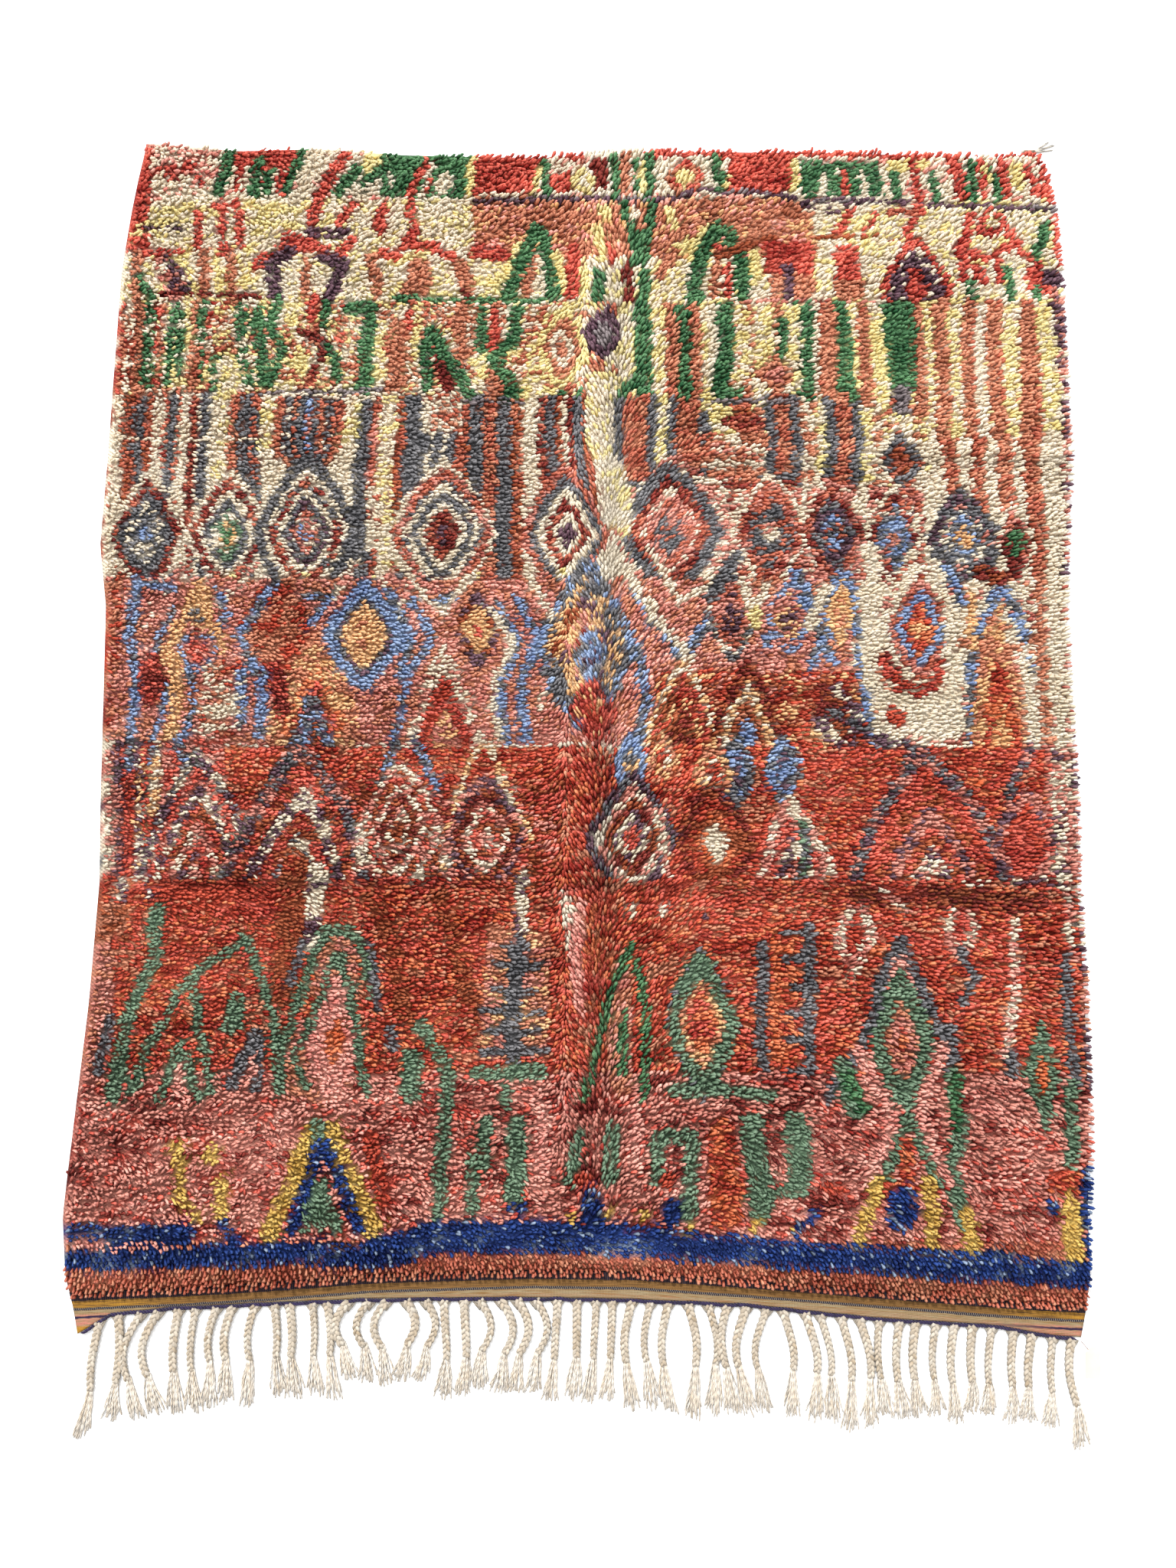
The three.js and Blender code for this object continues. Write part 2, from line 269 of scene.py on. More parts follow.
# The rug's outline, with y up its length.
outline = {
    "fieldHalfWidth": 820,
    "edgeY": (-1030, -981, -936, -844, -703, -511, -313, -212, 154, 262, 427, 768, 886, 945, 1010),
    "left": (-800, -812, -828, -838, -829, -816, -810, -815, -826, -842, -838, -833, -821, -813, -802),
    "right": (774, 786, 796, 797, 807, 812, 810, 815, 816, 824, 839, 842, 836, 826, 806),
    "lineX": (-810, -750, -650, -500, -340, -90, 70, 250, 450, 620, 730, 800),
    "top": (1020, 1016, 1006, 1010, 998, 992, 1002, 1004, 1002, 997, 990, 997),
    "foot": (-970, -967, -963, -955, -943, -936, -938, -950, -965, -978, -985, -988),
    "hem": (-1030, -994, -984, -977, -971, -969, -972, -980, -1000, -1009, -1026, -1031),
}
# Pile height with soft lumps, and the troughs that folding left in it.
pileRelief = {
    "height": 17,
    "shadePerDepth": 0.07,
    "lumps": ((190, 150, 2.8), (84, 92, 2.2)),
    "creases": (
        (55, 760, 15, -640, 4, 40),
        (-830, -88, 10, -84, 4, 15),
        (-830, -315, 10, -325, 4.5, 17),
        (30, -322, 820, -345, 5, 20),
        (60, 395, 840, 410, 3, 15),
    ),
}


def lineAt(name, x):
    return np.interp(x, outline["lineX"], outline[name])


def edgeAt(name, y):
    return np.interp(y, outline["edgeY"], outline[name])


def creaseAt(x, y):
    depths = np.zeros(np.shape(x))
    for fromX, fromY, toX, toY, depth, halfWidth in pileRelief["creases"]:
        away = awayFromLine(x, y, fromX, fromY, toX, toY)
        depths += depth * smooth(1 - away / halfWidth)
    return depths


def pileAt(x, y):
    height = np.full(np.shape(x), float(pileRelief["height"]))
    for seed, (across, along, swell) in enumerate(pileRelief["lumps"]):
        height += swell * swellAt(x / across, y / along, 17 * seed)
    return height - creaseAt(x, y)


# Points of the rug from shares across and up it.
def rugPlace(across, up, inset=0, footInset=0):
    x = mix(-outline["fieldHalfWidth"], outline["fieldHalfWidth"], across)
    y = mix(lineAt("foot", x) + footInset, lineAt("top", x) - inset, up)
    return mix(edgeAt("left", y) + inset, edgeAt("right", y) - inset, across), y


# One strand modelled once: a tube along Z with a point at each end, cut into rings.
def modelStrand(sides, levels):
    clearSelection()
    low, high = levels[1], levels[-2]
    bpy.ops.mesh.primitive_cylinder_add(
        vertices=sides, radius=1, depth=high - low,
        end_fill_type="TRIFAN", location=(0, 0, (low + high) / 2),
    )
    model = bpy.context.object
    bpy.ops.object.transform_apply(location=True)
    bpy.ops.object.mode_set(mode="EDIT")
    for height in levels[2:-2]:
        bpy.ops.mesh.select_all(action="SELECT")
        bpy.ops.mesh.bisect(plane_co=(0, 0, height), plane_no=(0, 0, 1))
    for height, move in ((low, levels[0] - low), (high, levels[-1] - high)):
        bpy.ops.mesh.select_all(action="DESELECT")
        sheet = bmesh.from_edit_mesh(model.data)
        for corner in sheet.verts:
            corner.select = abs(corner.co.z - height) < 1e-4 and corner.co.xy.length < 0.1
        sheet.select_flush_mode()
        bpy.ops.transform.translate(value=(0, 0, move))
    bpy.ops.mesh.select_all(action="SELECT")
    bpy.ops.mesh.quads_convert_to_tris()
    bpy.ops.mesh.normals_make_consistent(inside=False)
    bpy.ops.object.mode_set(mode="OBJECT")
    mesh = model.data
    points = np.array([corner.co for corner in mesh.vertices])
    faces = np.array([face.vertices for face in mesh.polygons])
    bpy.data.objects.remove(model)
    ring = np.abs(points[:, 2:] - np.asarray(levels)[None]).argmin(axis=1)
    turn = np.arctan2(points[:, 1], points[:, 0]) / (2 * math.pi) % 1
    onAxis = np.hypot(points[:, 0], points[:, 1]) < 0.1
    around = turn[faces]
    for row, face in zip(around, faces):
        rimTurns = row[~onAxis[face]]
        if rimTurns.max() - rimTurns.min() > 0.5:
            row[row < 0.5] += 1
        rimTurns = row[~onAxis[face]]
        row[onAxis[face]] = rimTurns.mean()
    return {
        "levels": np.asarray(levels, float), "faces": faces, "ring": ring,
        "turn": np.where(onAxis, 0.5, turn), "onAxis": onAxis, "around": around,
    }


# Copies of a strand, each along its own path: paths and radii have a row for each strand
# and a column for each ring.
def copyStrands(model, paths, wide, high):
    count, rings = paths.shape[:2]
    ahead = unit(np.gradient(paths, axis=1))
    up = np.zeros_like(ahead)
    up[..., 2] = 1
    steep = np.abs(ahead[..., 2:]) > 0.98
    flat = unit(paths[:, -1:] - paths[:, :1] + np.array([1e-6, 0, 0]))
    up = np.where(steep, np.repeat(-flat, rings, axis=1), up)
    side = unit(np.cross(ahead, up))
    crown = np.cross(side, ahead)
    ring, turn = model["ring"], model["turn"] * 2 * math.pi
    out = np.where(model["onAxis"], 0, 1)
    across = (np.cos(turn) * out * wide[:, ring])[..., None]
    over = (np.sin(turn) * out * high[:, ring])[..., None]
    points = paths[:, ring] + side[:, ring] * across + crown[:, ring] * over
    size = len(ring)
    faces = model["faces"][None] + (np.arange(count) * size)[:, None, None]
    seeds = draw.random(count)
    place = np.empty((count, size, 3))
    place[..., 0] = model["levels"][ring]
    place[..., 1] = model["turn"]
    place[..., 2] = seeds[:, None]
    # every strand has a cell of its own in the flat map
    cells = math.ceil(math.sqrt(count))
    index = np.arange(count)
    corner = np.stack([index % cells, index // cells], axis=-1)[:, None, None]
    inner = np.stack([model["around"] / 2, model["levels"][ring][model["faces"]]], axis=-1)
    flatMap = (corner + 0.08 + 0.84 * inner[None]) / cells
    return {"points": points.reshape(-1, 3), "faces": faces.reshape(-1, 3),
            "place": place.reshape(-1, 3), "flatMap": flatMap.reshape(-1, 2), "size": size}


def meshPiece(name, parts, material, colours=None):
    points, faces, place, flatMap = [], [], [], []
    start = 0
    for number, part in enumerate(parts):
        points.append(part["points"])
        faces.append(part["faces"] + start)
        place.append(part["place"])
        flatMap.append((part["flatMap"] + [number, 0]) / [len(parts), 1])
        start += len(part["points"])
    points, faces = np.concatenate(points), np.concatenate(faces)
    mesh = bpy.data.meshes.new(name)
    mesh.vertices.add(len(points))
    mesh.vertices.foreach_set("co", (points * mm).ravel())
    mesh.loops.add(faces.size)
    mesh.loops.foreach_set("vertex_index", faces.ravel())
    mesh.polygons.add(len(faces))
    mesh.polygons.foreach_set("loop_start", np.arange(0, faces.size, 3))
    mesh.polygons.foreach_set("loop_total", np.full(len(faces), 3))
    mesh.update(calc_edges=True)
    mesh.polygons.foreach_set("use_smooth", np.ones(len(faces), bool))
    mesh.attributes.new("strandPlace", "FLOAT_VECTOR", "POINT").data.foreach_set(
        "vector", np.concatenate(place).ravel())
    mesh.uv_layers.new(name="OFBake").data.foreach_set("uv", np.concatenate(flatMap).ravel())
    if colours is not None:
        paintYarn(mesh, colours)
    mesh.validate()
    mesh.materials.append(material)
    piece = bpy.data.objects.new(name, mesh)
    bpy.context.scene.collection.objects.link(piece)
    return piece


def paintYarn(mesh, colours):
    rgba = np.ones((len(colours), 4))
    rgba[:, :3] = colours
    mesh.color_attributes.new("yarnColour", "FLOAT_COLOR", "POINT").data.foreach_set(
        "color", rgba.ravel())


# Yarns of the pile, each from its darkest to its lightest shade.
yarns = {
    "cream": ((208, 192, 166), (230, 218, 198)),
    "straw": ((212, 192, 126), (234, 219, 162)),
    "brick": ((140, 32, 26), (236, 112, 92)),
    "rust": ((142, 60, 42), (208, 118, 92)),
    "vermilion": ((124, 24, 14), (208, 86, 62)),
    "orange": ((186, 80, 42), (232, 138, 94)),
    "salmon": ((156, 86, 60), (216, 144, 112)),
    "rose": ((158, 80, 68), (228, 156, 138)),
    "pink": ((206, 118, 106), (242, 180, 162)),
    "peach": ((204, 148, 96), (240, 196, 146)),
    "maroon": ((84, 20, 18), (146, 56, 46)),
    "brown": ((120, 48, 26), (176, 92, 58)),
    "green": ((30, 74, 42), (96, 142, 96)),
    "sage": ((76, 100, 76), (124, 150, 122)),
    "slate": ((66, 66, 70), (130, 128, 130)),
    "grey": ((98, 88, 90), (150, 138, 138)),
    "plum": ((58, 36, 46), (118, 86, 98)),
    "sky": ((104, 124, 166), (154, 174, 204)),
    "royal": ((6, 16, 66), (38, 66, 136)),
    "ochre": ((176, 134, 56), (226, 190, 104)),
}

# The pattern in painter's order, in centimetres from the middle of the rug. A ground or block mixes
# its yarns in patches between x,x y,y. Columns have the same corners and their yarns from left to
# right. A ring is halfWidth,halfHeight x,y with its yarns from the outside in. A stroke is its width
# and the points that it joins. Yarns joined by / are marled, and a width may follow a colon.
chart = [
    ("ground", "cream cream cream/pink cream", "-90,90 90,106"),
    ("ground", "straw/cream cream straw/cream cream straw/cream", "-90,90 70,90"),
    ("ground", "salmon salmon/pink salmon/peach salmon", "-20,40 79,90.5"),
    ("ground", "rose/maroon rose rose/brick rose/pink rose/maroon", "-90,90 -90,-61"),
    ("ground", "rose/pink rose pink/rose maroon/rose", "56,90 -70,-50"),
    ("ground", "salmon/rust rust/salmon rust salmon/rust", "-90,90 -104,-88"),

    # row of small upright motifs along the top
    ("block", "brick", "10,86 98.3,104; -84,-77.8 80,104; -63,-51 96,102; 25,37 91.2,98.5; 81,86 89,99"),
    ("block", "brick", "-20.3,-8.5 91.3,98.8; -6.3,-2.5 91.5,95; -20,0 98,104"),
    ("block", "green", "-37,-21.5 90.5,100; 38,52.5 90.8,97.5"),
    ("block", "straw", "-40,-37 95,100; 54,62 96,98"),
    ("block", "maroon", "1,4 92,98"),
    ("block", "cream", "12.5,23 91,98"),
    ("block", "plum/plum/cream", "38,47 87.5,90.3"),
    ("ring", "salmon/brick straw", "3.6,3.7 17.3,94.3"),
    ("ring", "straw cream", "2.5,3 -0.5,93.5"),
    ("ring", "cream", "1.8,2.6 -25.5,93"),
    ("stroke", "rose", "1 -78,101 -66,99"),
    ("stroke", "brick", """0.8 -77,96 -72,95.5; 1.6 83.4,90 83.6,78; 2 -71,97 -70.5,96.5;
        1.5 -74.5,94 -74,94; 1.5 -69.5,94.5 -69,94; 2 -61.5,97 -62,92; 1.2 -57.5,97 -57.5,93;
        2 -54.5,97 -54.5,92; 2.2 -43.5,98.5 -47.5,92 -49,86; 1.6 -42,94.3 -43,93;
        1.6 -29,98 -31.5,91.5; 0.8 -28.5,94 -28.5,91; 1.4 46,91 46,95.5; 1.4 58.8,98 59,88;
        2.5 66,98 66.5,91; 1.4 70.5,98 70.5,91; 1.5 74.5,98 74.5,91; 1.6 79,96 80,91"""),
    ("stroke", "green", """2.2 -63.5,100 -66,91.8; 1.8 -59,98 -59.5,91.5; 1.5 -56.5,96 -57,92;
        1.6 -51,100 -53.5,92; 2 -41,96 -45,91.5; 1.5 -37,96 -40,93; 1.6 -7.5,97 -7.2,90.5;
        1.5 5,98.5 5.5,91; 0.9 8.8,98 9.2,91; 2 11,98.5 11.3,90.8; 1.8 22.5,98 24,92;
        1.5 55,95 54.7,90.5; 1.6 61.8,95 62,90.5; 1.8 68.8,96.5 68.5,90; 1.8 72.5,95 73,90.5"""),
    ("stroke", "straw", """1.2 -20.8,98 -20.8,91; 1.2 -8.3,97 -9.2,91.5; 1.2 10,97 10.2,92;
        1 24.7,95 24.7,92; 1.3 37,97.5 37,92; 1.2 71.5,96 72,93; 2.5 77,93 77,96"""),
    ("stroke", "cream", """1.2 -28,97 -29.5,91; 0.8 -35,92 -36,95; 1.5 42,91 42,94.5;
        1 45,95 45,95.8; 1.4 49.3,91 49.3,95; 0.9 -60.8,96 -62.2,91.5; 0.8 -55.4,96 -56,91.5"""),
    ("stroke", "salmon", "2 7,99 7,92"),
    ("stroke", "plum/plum/grey", "0.9 -20,89.7 -2,90.2 14,90 20,91.8 30,91.2 38,90 60,89.5 84,88"),

    # arches, columns and the salmon field below them
    ("stroke", "straw", """1.2 -76,88 -66,88.5; 1.2 -79,85.5 -73,86; 1.2 -60,85.5 -50,85;
        1.2 -60,88.5 -52,88.3; 2 -81,84 -80,84; 1.2 -77,79 -74,78.5; 1.4 -70.5,80 -70.5,71;
        1.4 -65,80 -65,71; 1.5 -34,78 -28,80; 2 -14,79 -16,74; 1.5 -12,81 -14,75; 1.5 -5.5,80 -5,72;
        1.3 -1,78 -1.5,72; 2 1.5,84 2.5,79; 2.5 2.8,88 3,87; 1.6 15,88 15.5,85; 2.5 18,82 13,77;
        1.2 21.5,85 18,79; 1.6 29.8,80 29.8,74; 1.4 50,81 52,80"""),
    ("stroke", "brick", """1.4 -69,88 -69,81; 1.6 -65,90 -64.5,80; 1.6 -62.5,90 -61.5,81;
        1.8 -66.5,89 -66,89; 1.2 -80,80 -71,79.8; 2 -59,77 -54,81 -50,81; 2.2 -54,83 -46,80.5;
        2 -41,82 -44,79; 1.8 -44,85.5 -42,89; 2.4 -36.6,88 -36.6,84.5; 1.8 -31.5,90 -30.5,84 -32,81;
        2.2 -32,81 -28,81 -24,79; 1.5 -36,80 -33,79; 3 -20,80 -15,79.5; 2.2 -2.5,81 -3.5,72;
        1.4 3.5,81 4,78; 1.4 25,77 25,72; 1.6 23.5,83 23.5,81; 1.6 47,88 44,83; 1 51,87 49,83;
        1.6 58.5,89 57,83; 1.8 68.1,87 67,80 66.4,74.5; 1.6 66,80 71,79; 2 69,76.5 69.6,74.5;
        1.5 71.3,88 70.2,84.5 70,83.5 73,83.7; 1.4 73,87 75.5,83.3 77,80.8 79.5,78.6;
        1.4 76.5,81.6 73,80.4 72.5,74.7; 1.4 78.2,76.7 78.6,73.8; 1.8 79.5,77 81.5,73"""),
    ("stroke", "plum", """0.5 -78,84.8 -71,84.3; 2.6 -53,80 -56,78 -55.5,72;
        2.6 -47,79.5 -43,78 -45,72; 0.9 -50,84.3 -42,84; 0.8 -49,83.2 -43,83"""),
    ("stroke", "salmon", """1.6 -80,80 -80,71; 2 -67.5,80 -67.5,71; 1.6 -63,80 -63,71;
        1.5 -50,79 -50,72; 2 -38,79 -37,72; 3 -30,77 -32,72; 1.8 -9.5,80 -11.5,72; 2 15.5,80 13,76;
        1.6 23,78 22.5,72; 3 -22.5,77 -21.5,73; 2.6 -29,77 -29.5,73"""),
    ("stroke", "rose", "3 -75,78 -73,72; 1.6 28,70 82,70; 1.4 82.6,76 82.6,60"),
    ("stroke", "rust", "1.3 53.5,87.7 58,87.7"),
    ("stroke", "plum/rose/cream", "4 -74,77 -72,73.5"),
    ("stroke", "maroon", "0.8 -76,72 -58,71.8; 1.6 -22,72.5 -21.5,71.5; 2.2 6.8,77 7,71"),
    ("stroke", "green", """1.5 -79,76 -77.5,71.5; 2.4 -9,84 -14.5,71.5; 2.2 -8,84 -6.5,71.5;
        2 1.5,76 1,71.5; 1.8 6.5,89 8.5,80; 1.8 12,89.5 10,80; 3 9.5,83 9,79; 2.2 10.5,76 10,71;
        2.6 23.5,85 20,79 19,71.5; 2.4 25,84.5 27.5,79 27.5,72; 1.6 67.5,74 68,70.5; 1.8 74,77 75,71;
        1.6 79.5,74 80,71; 1.7 81.5,85 79.5,79.5; 1.1 -34,71.2 -6,71"""),
    ("stroke", "cream", "1 -8.5,79 -8.5,72; 1.6 8.5,88 8.6,86.5"),
    ("stroke", "brown", "1.5 33,83 24,79; 0.5 38,82.8 60,82.5"),
    ("block", "salmon", "32,39.5 71,76; 43,48.5 71,75"),
    ("block", "brick", "31.5,39.5 76,82; 43.5,48 74.5,81"),
    ("stroke", "plum", "1.6 35.3,77 35.3,71.5; 3 82,75.5 85,74.5"),
    ("ring", "brick:1.2 plum/plum/cream:2.7 brick:1.8", "6.3,10 58.3,73"),
    ("block", "brick", "57.3,59.6 71,77"),

    # grey and terracotta columns, under the row of lozenges too
    ("columns", """cream/rust:1.5 cream:2.5 rust/brown:1.8 slate/rust:1 slate:1.6 rust/brown:1.3
        cream:2.2 rust/maroon slate:1.5 rust/cream cream:2 rust/maroon:1.3 cream:0.6 slate:1.7 cream
        straw/cream/cream:3 salmon/rust:1.7 slate:2.6 rust/slate:1.7""",
     "-84,-57 19.5,56"),
    ("columns", """slate:2.4 rust/rose:1.2 cream/cream/straw:3 rust/brown:1.4 slate:2.6 cream:1.4
        salmon/cream/rust:6 rust/brown:1.3 slate:2.6 salmon/rust:2.6 slate:2.6 salmon/brown/rust:1.8
        cream:2.7 rust/maroon:1.2 slate:1.7 rust/brown cream:1.1 rust/maroon slate:1.7 rust/brown:1.2""",
     "-40.2,1 19.5,53.5"),
    ("columns", "slate:1.6 cream slate:1.3 cream:1.2 slate:1.8 rust:1.4", "-29.6,-21.4 36,46"),
    ("ring", "cream:2.8 rust/salmon:1.6 slate:1.4 rust/rose slate:1.2 rose/rust:0.8",
     "8.8,10 -48.5,43.5"),
    ("columns", """cream/straw:2.8 rust/salmon:1.8 slate/slate/cream:1.3 rust/salmon:1.2 slate:1.1
        rose/sky/rust:1.4 slate:1.1 rust/salmon:1.2 slate/slate/cream:1.3 rust/salmon:1.8
        cream/straw:2.8""",
     "-57,-40 43,53.5"),
    ("columns", """slate:1.4 salmon/rust:4 slate:1.5 straw/cream:1.8 slate:1.4 salmon/rust:4
        slate:1.6 cream/straw:4 rust/brown:3 cream/straw/salmon:2 slate:1.6 salmon/rust:2.6 slate:1.6
        cream/salmon:2.6 straw/cream:1.4 slate:1.7 salmon/rust:2.8 slate:1.7 cream/straw:2.2
        salmon/cream:2 cream/straw/salmon:7.6""",
     "5,59.5 36,53.5"),
    ("ring", "cream slate/slate/rust:1.6 rust/brown:1.6", "4.8,6.8 54.6,41.2"),
    ("block", "slate/rust", "52,55.5 50,54"),
    ("columns", """straw/cream:2.2 salmon/rust:2.6 straw/cream:2 salmon/rust:2.1 cream/straw:2
        salmon/rust:2.6 straw/cream:3.2 salmon/rust:2.6 cream/straw:3.4 plum/rose/plum:8""",
     "59.5,90 45,71"),
    ("columns", """cream:2.2 salmon/rust:2.6 cream:2.6 salmon/rust:2.1 cream:2.4 salmon/rust:2.6
        cream:2 salmon/rust:2.8 cream:4.8 plum/cream/plum:8""",
     "59.5,90 19.5,45.5"),
    ("ground", "salmon/cream salmon/rust cream/rose salmon/cream", "20,31 37,46"),
    ("stroke", "rust/maroon", "3 25,48 29,48; 1.6 36,37.6 23,36.6"),
    ("stroke", "slate", "1.2 6,38 8,36.5 11,38; 1.2 13,38.5 17,37 20,39; 1.2 29.5,38 36,38.2"),

    # green zigzags and stripes
    ("ground", "salmon/cream cream/straw salmon/rust cream/straw", "-90,5 53.3,70.5"),
    ("columns", """brick/cream:1.6 cream:1.6 salmon/rust/cream:2 green:1.4 brick:1.4 cream/straw:2
        green:1.2 straw/cream:1.6 green:1.2 salmon/rust:2 green:1.2""",
     "-84,-66.5 55,70.5"),
    ("columns", """cream/straw:3 green:2.6 straw/cream:2.2 salmon/rust:2.2 green:2 salmon/rust:2.4
        cream/straw:1.6 green:4 straw/cream/salmon:2 salmon/cream:2 straw/cream:3 cream/salmon:1.8
        cream/straw:2.2 green:2.4 cream:1.5 salmon/rust:2.5 green:2.2 cream/straw:2 salmon/rust:2
        straw/cream:3 green:4 salmon:1.2 straw/cream:2""",
     "5,59.5 53.3,70.5"),
    ("stroke", "brick/salmon/cream", """1.5 -82,70 -82,54; 1.4 -75,70 -75,54; 1.4 -66.5,70 -66.5,55;
        1.4 -43,69 -43,63"""),
    ("stroke", "brick", "2 -48.5,71 -48.5,67; 1.4 -31.5,68.5 -31.5,66; 1.6 -16.5,69 -17,62"),
    ("stroke", "salmon", """1.4 -79,70 -79,54; 1.4 -69.3,70 -69.3,54; 3.2 -33,66 -33.5,55;
        2.5 -23,70 -22,60; 3 -16,59 -16,53; 1.8 15,68 15,56; 1.4 18.7,69 18.7,54; 2.8 42,68 42,54;
        1.8 48.5,68 48.5,52; 2.2 58,69 58,50; 2.4 62,69 62,46; 1.8 66.5,69 66.5,46;
        2.2 71,69 71.5,44; 2.2 77.3,69 76.5,52 75,44"""),
    ("stroke", "straw/straw/cream", """1.3 -70.5,70 -70.5,55; 2 -53.5,70 -50.5,64; 2 -36.5,66 -37,54;
        1.4 -30,70 -30,60; 2 -18.5,60 -18.5,54; 1.4 -10,63 -10,53; 1.6 13,69 12,62;
        1.5 20.5,53 20.5,51; 2 27.5,68 27.5,56; 1.4 31.5,68 31.5,61; 1.6 36.5,69 36.5,55;
        2 50.8,68 50.8,51; 1.8 64.2,69 64.2,46; 2 74,69 74,46; 1.8 80,62 80,50"""),
    ("stroke", "cream", "2 69,69 69,46; 2.2 22,69 22,55"),
    ("ring", "straw cream straw", "3.5,5 -63.5,57"),
    ("ring", "straw", "1.6,4 -50.5,59"),
    ("ring", "straw salmon cream salmon", "5,8 -4,62"),
    ("ring", "plum grey", "3.5,5 3,65"),
    ("ring", "salmon rose", "3,4 33,57"),
    ("stroke", "maroon", "1.4 -50.5,65 -46,63 -48.5,57; 3 -25.5,60 -24.5,55"),
    ("stroke", "green/green/cream", """1.6 -77.2,70 -76.5,55; 1.5 -72,70 -71,57;
        1.5 -67.5,70 -68.5,63; 1.5 -65.5,60 -65.5,54; 2 -61.5,70 -60.5,60 -59.5,55"""),
    ("stroke", "green", """2.2 -58.5,69 -56.5,56; 1.8 -55,71 -56,66 -53.5,62 -56,55;
        1.6 -46,70 -46.5,66; 1.7 -45,62 -44,56; 2.6 -41.5,69 -38,69 -39.5,54; 2 -27.5,65 -28.8,55;
        2.2 -26.5,64 -20.5,53.5; 2 -19,69 -19,62; 2.4 -12.5,69 -13.5,63 -16.5,60 -12,53.5;
        1.4 -4,53.5 -3.5,53.5; 1.4 -1,53.5 -0.5,53.5; 2.6 9.5,70 9.5,58; 2 8,56 6.5,54;
        2 17,68 16.5,58 17,53.5; 3.2 24.5,69 23.5,54; 1.6 34,67 34,61; 1.8 38.3,69.5 38.3,53;
        2 44.5,69 45.5,62 44.8,58 46,52.5; 3.6 56,69 55,55; 4.4 55.7,69 55.7,65"""),
    ("block", "green", "-14,-11 52.5,55; 22,27.5 52.8,54.5"),
    ("stroke", "grey", "0.8 -56,53.2 -36,54.2; 0.7 -22,52 -11,52; 0.9 22,52 36,52; 3 54.3,54 54.3,50.5"),

    # row of lozenges
    ("ground", "rust/cream/rose maroon/rust/rose cream/rose rust/rose", "5,59.5 19.5,36.5"),
    ("stroke", "cream", """0.6 -84,45.3 -56,45.3; 0.8 -56,52.8 -38,52.8; 2.2 47.3,36 48,20;
        2 58.5,37 59,20; 2 37.3,37 37.3,31"""),
    ("ring", "cream rust/maroon slate cream/slate slate/cream sky/slate", "7,12 -75.5,28"),
    ("ring", """cream:0.9 rust/maroon:1.1 cream:0.9 slate:0.9 cream/sage peach/sage:0.6 green:0.9""",
     "6.8,12 -62,28"),
    ("ring", """slate:1.6 cream:0.9 rust/maroon/slate:1.1 cream:0.9 slate/plum:1.2
        rust/rose/cream:1.2 sky/rose:1.2""",
     "9.5,14.5 -48.5,28.3"),
    ("stroke", "cream/cream/rust", "2.6 -36.8,36 -36.8,26"),
    ("ring", """cream:0.9 rust/rose:1.4 slate/cream:0.6 cream:0.8 slate:1.1 cream:1.1 rust/maroon:1.7
        plum/maroon:1.2""",
     "9.8,13.5 -24.6,28"),
    ("ring", "rust/rose slate cream rust/maroon cream:0.8 plum:1.2", "7,12.5 -4,28"),
    ("ring", "cream/rose:0.8 rust/maroon/rose:1.6", "11.5,14 15.2,28.3"),
    ("ring", """slate:1.6 rust/maroon:1.1 cream/rose:0.9 rust/rose rose/slate:1.2 slate/rust""",
     "9,12.5 14.2,28.6"),
    ("ring", "cream:0.7 maroon/rust/rose:1.5 slate/slate/rust:2.2 cream/rose:1.4", "6.8,11 31,28.5"),
    ("ring", """cream/rose:0.8 maroon/rust/rose:1.3 slate/plum:1.6 rust/sky:0.9 sky/slate:0.9""",
     "6.2,10.8 42,28"),
    ("ring", """cream:0.6 maroon/rust/cream sky/slate/rose:1.2 sky/slate:0.7 rose/salmon:0.9""",
     "5.2,9.5 52.6,27.4"),
    ("ring", """slate/slate/plum:1.7 rose/slate/cream:1.2 sky/slate:0.8 sky/peach:0.9 peach:0.5""",
     "6,9.8 64.3,27"),
    ("ring", "cream:0.6 rust/rose/maroon:1.1 green/green/maroon:1.4", "3.4,7.5 72.5,26.4"),
    ("stroke", "maroon", "2.6 72.3,22 72.3,20.8"),
    ("stroke", "straw", """1.4 -74.5,19.4 -74.4,19; 1.4 -61,20.4 -61,20; 1.4 -48,20.4 -48,20;
        1.4 -18.5,20.8 -18.5,20; 1.2 -4,21.4 -4,21"""),
    ("stroke", "cream/cream/straw", "4 3,56 2,45 5,37 6,30"),
    ("stroke", "straw/cream", "1.8 3,53 2.6,46"),
    ("stroke", "plum/rose/cream", "3.4 83.6,70 83.8,42; 3.4 83.6,40 82.6,20 82.4,-8; 2.4 82,-8 82,-40"),

    # light blue peaks
    ("ground", "rose/pink salmon rose/salmon pink/rose rose salmon/pink", "-90,50 -8.5,20"),
    ("ground", "cream cream/rose cream cream/salmon", "45,82 -8,19.5"),
    ("ground", "vermilion/salmon rose/vermilion brown/vermilion salmon/peach vermilion", "11,47 -9,4"),
    ("ground", "vermilion/salmon salmon/rose salmon/vermilion", "-90,-79 -8,20"),
    ("ground", "rose/cream salmon/cream vermilion/rose", "-65,-58 -9,6"),
    ("ring", "vermilion/salmon vermilion/salmon", "6.8,9.5 -53,11"),
    ("ring", "peach/salmon:1.6 peach/orange:0.8 brown/brick:1.2 brown", "7.6,15 -46,-5"),
    ("stroke", "brick/maroon", "2.6 -52.5,5 -51.5,-3; 1.6 68,7 68.5,-4; 1.6 51,8 52,4"),
    ("stroke", "salmon", "1.8 76.5,20 76.5,-8"),
    ("stroke", "rose/cream", """1.4 -69,23 -74.5,15 -75,12; 1.4 -57,23 -63,14; 1.2 -33,22 -36,17;
        1.2 -30.5,18 -33,11 -34,3; 1.2 -12.5,18 -6,8 -8,-6; 1.4 -40,23 -44,16"""),
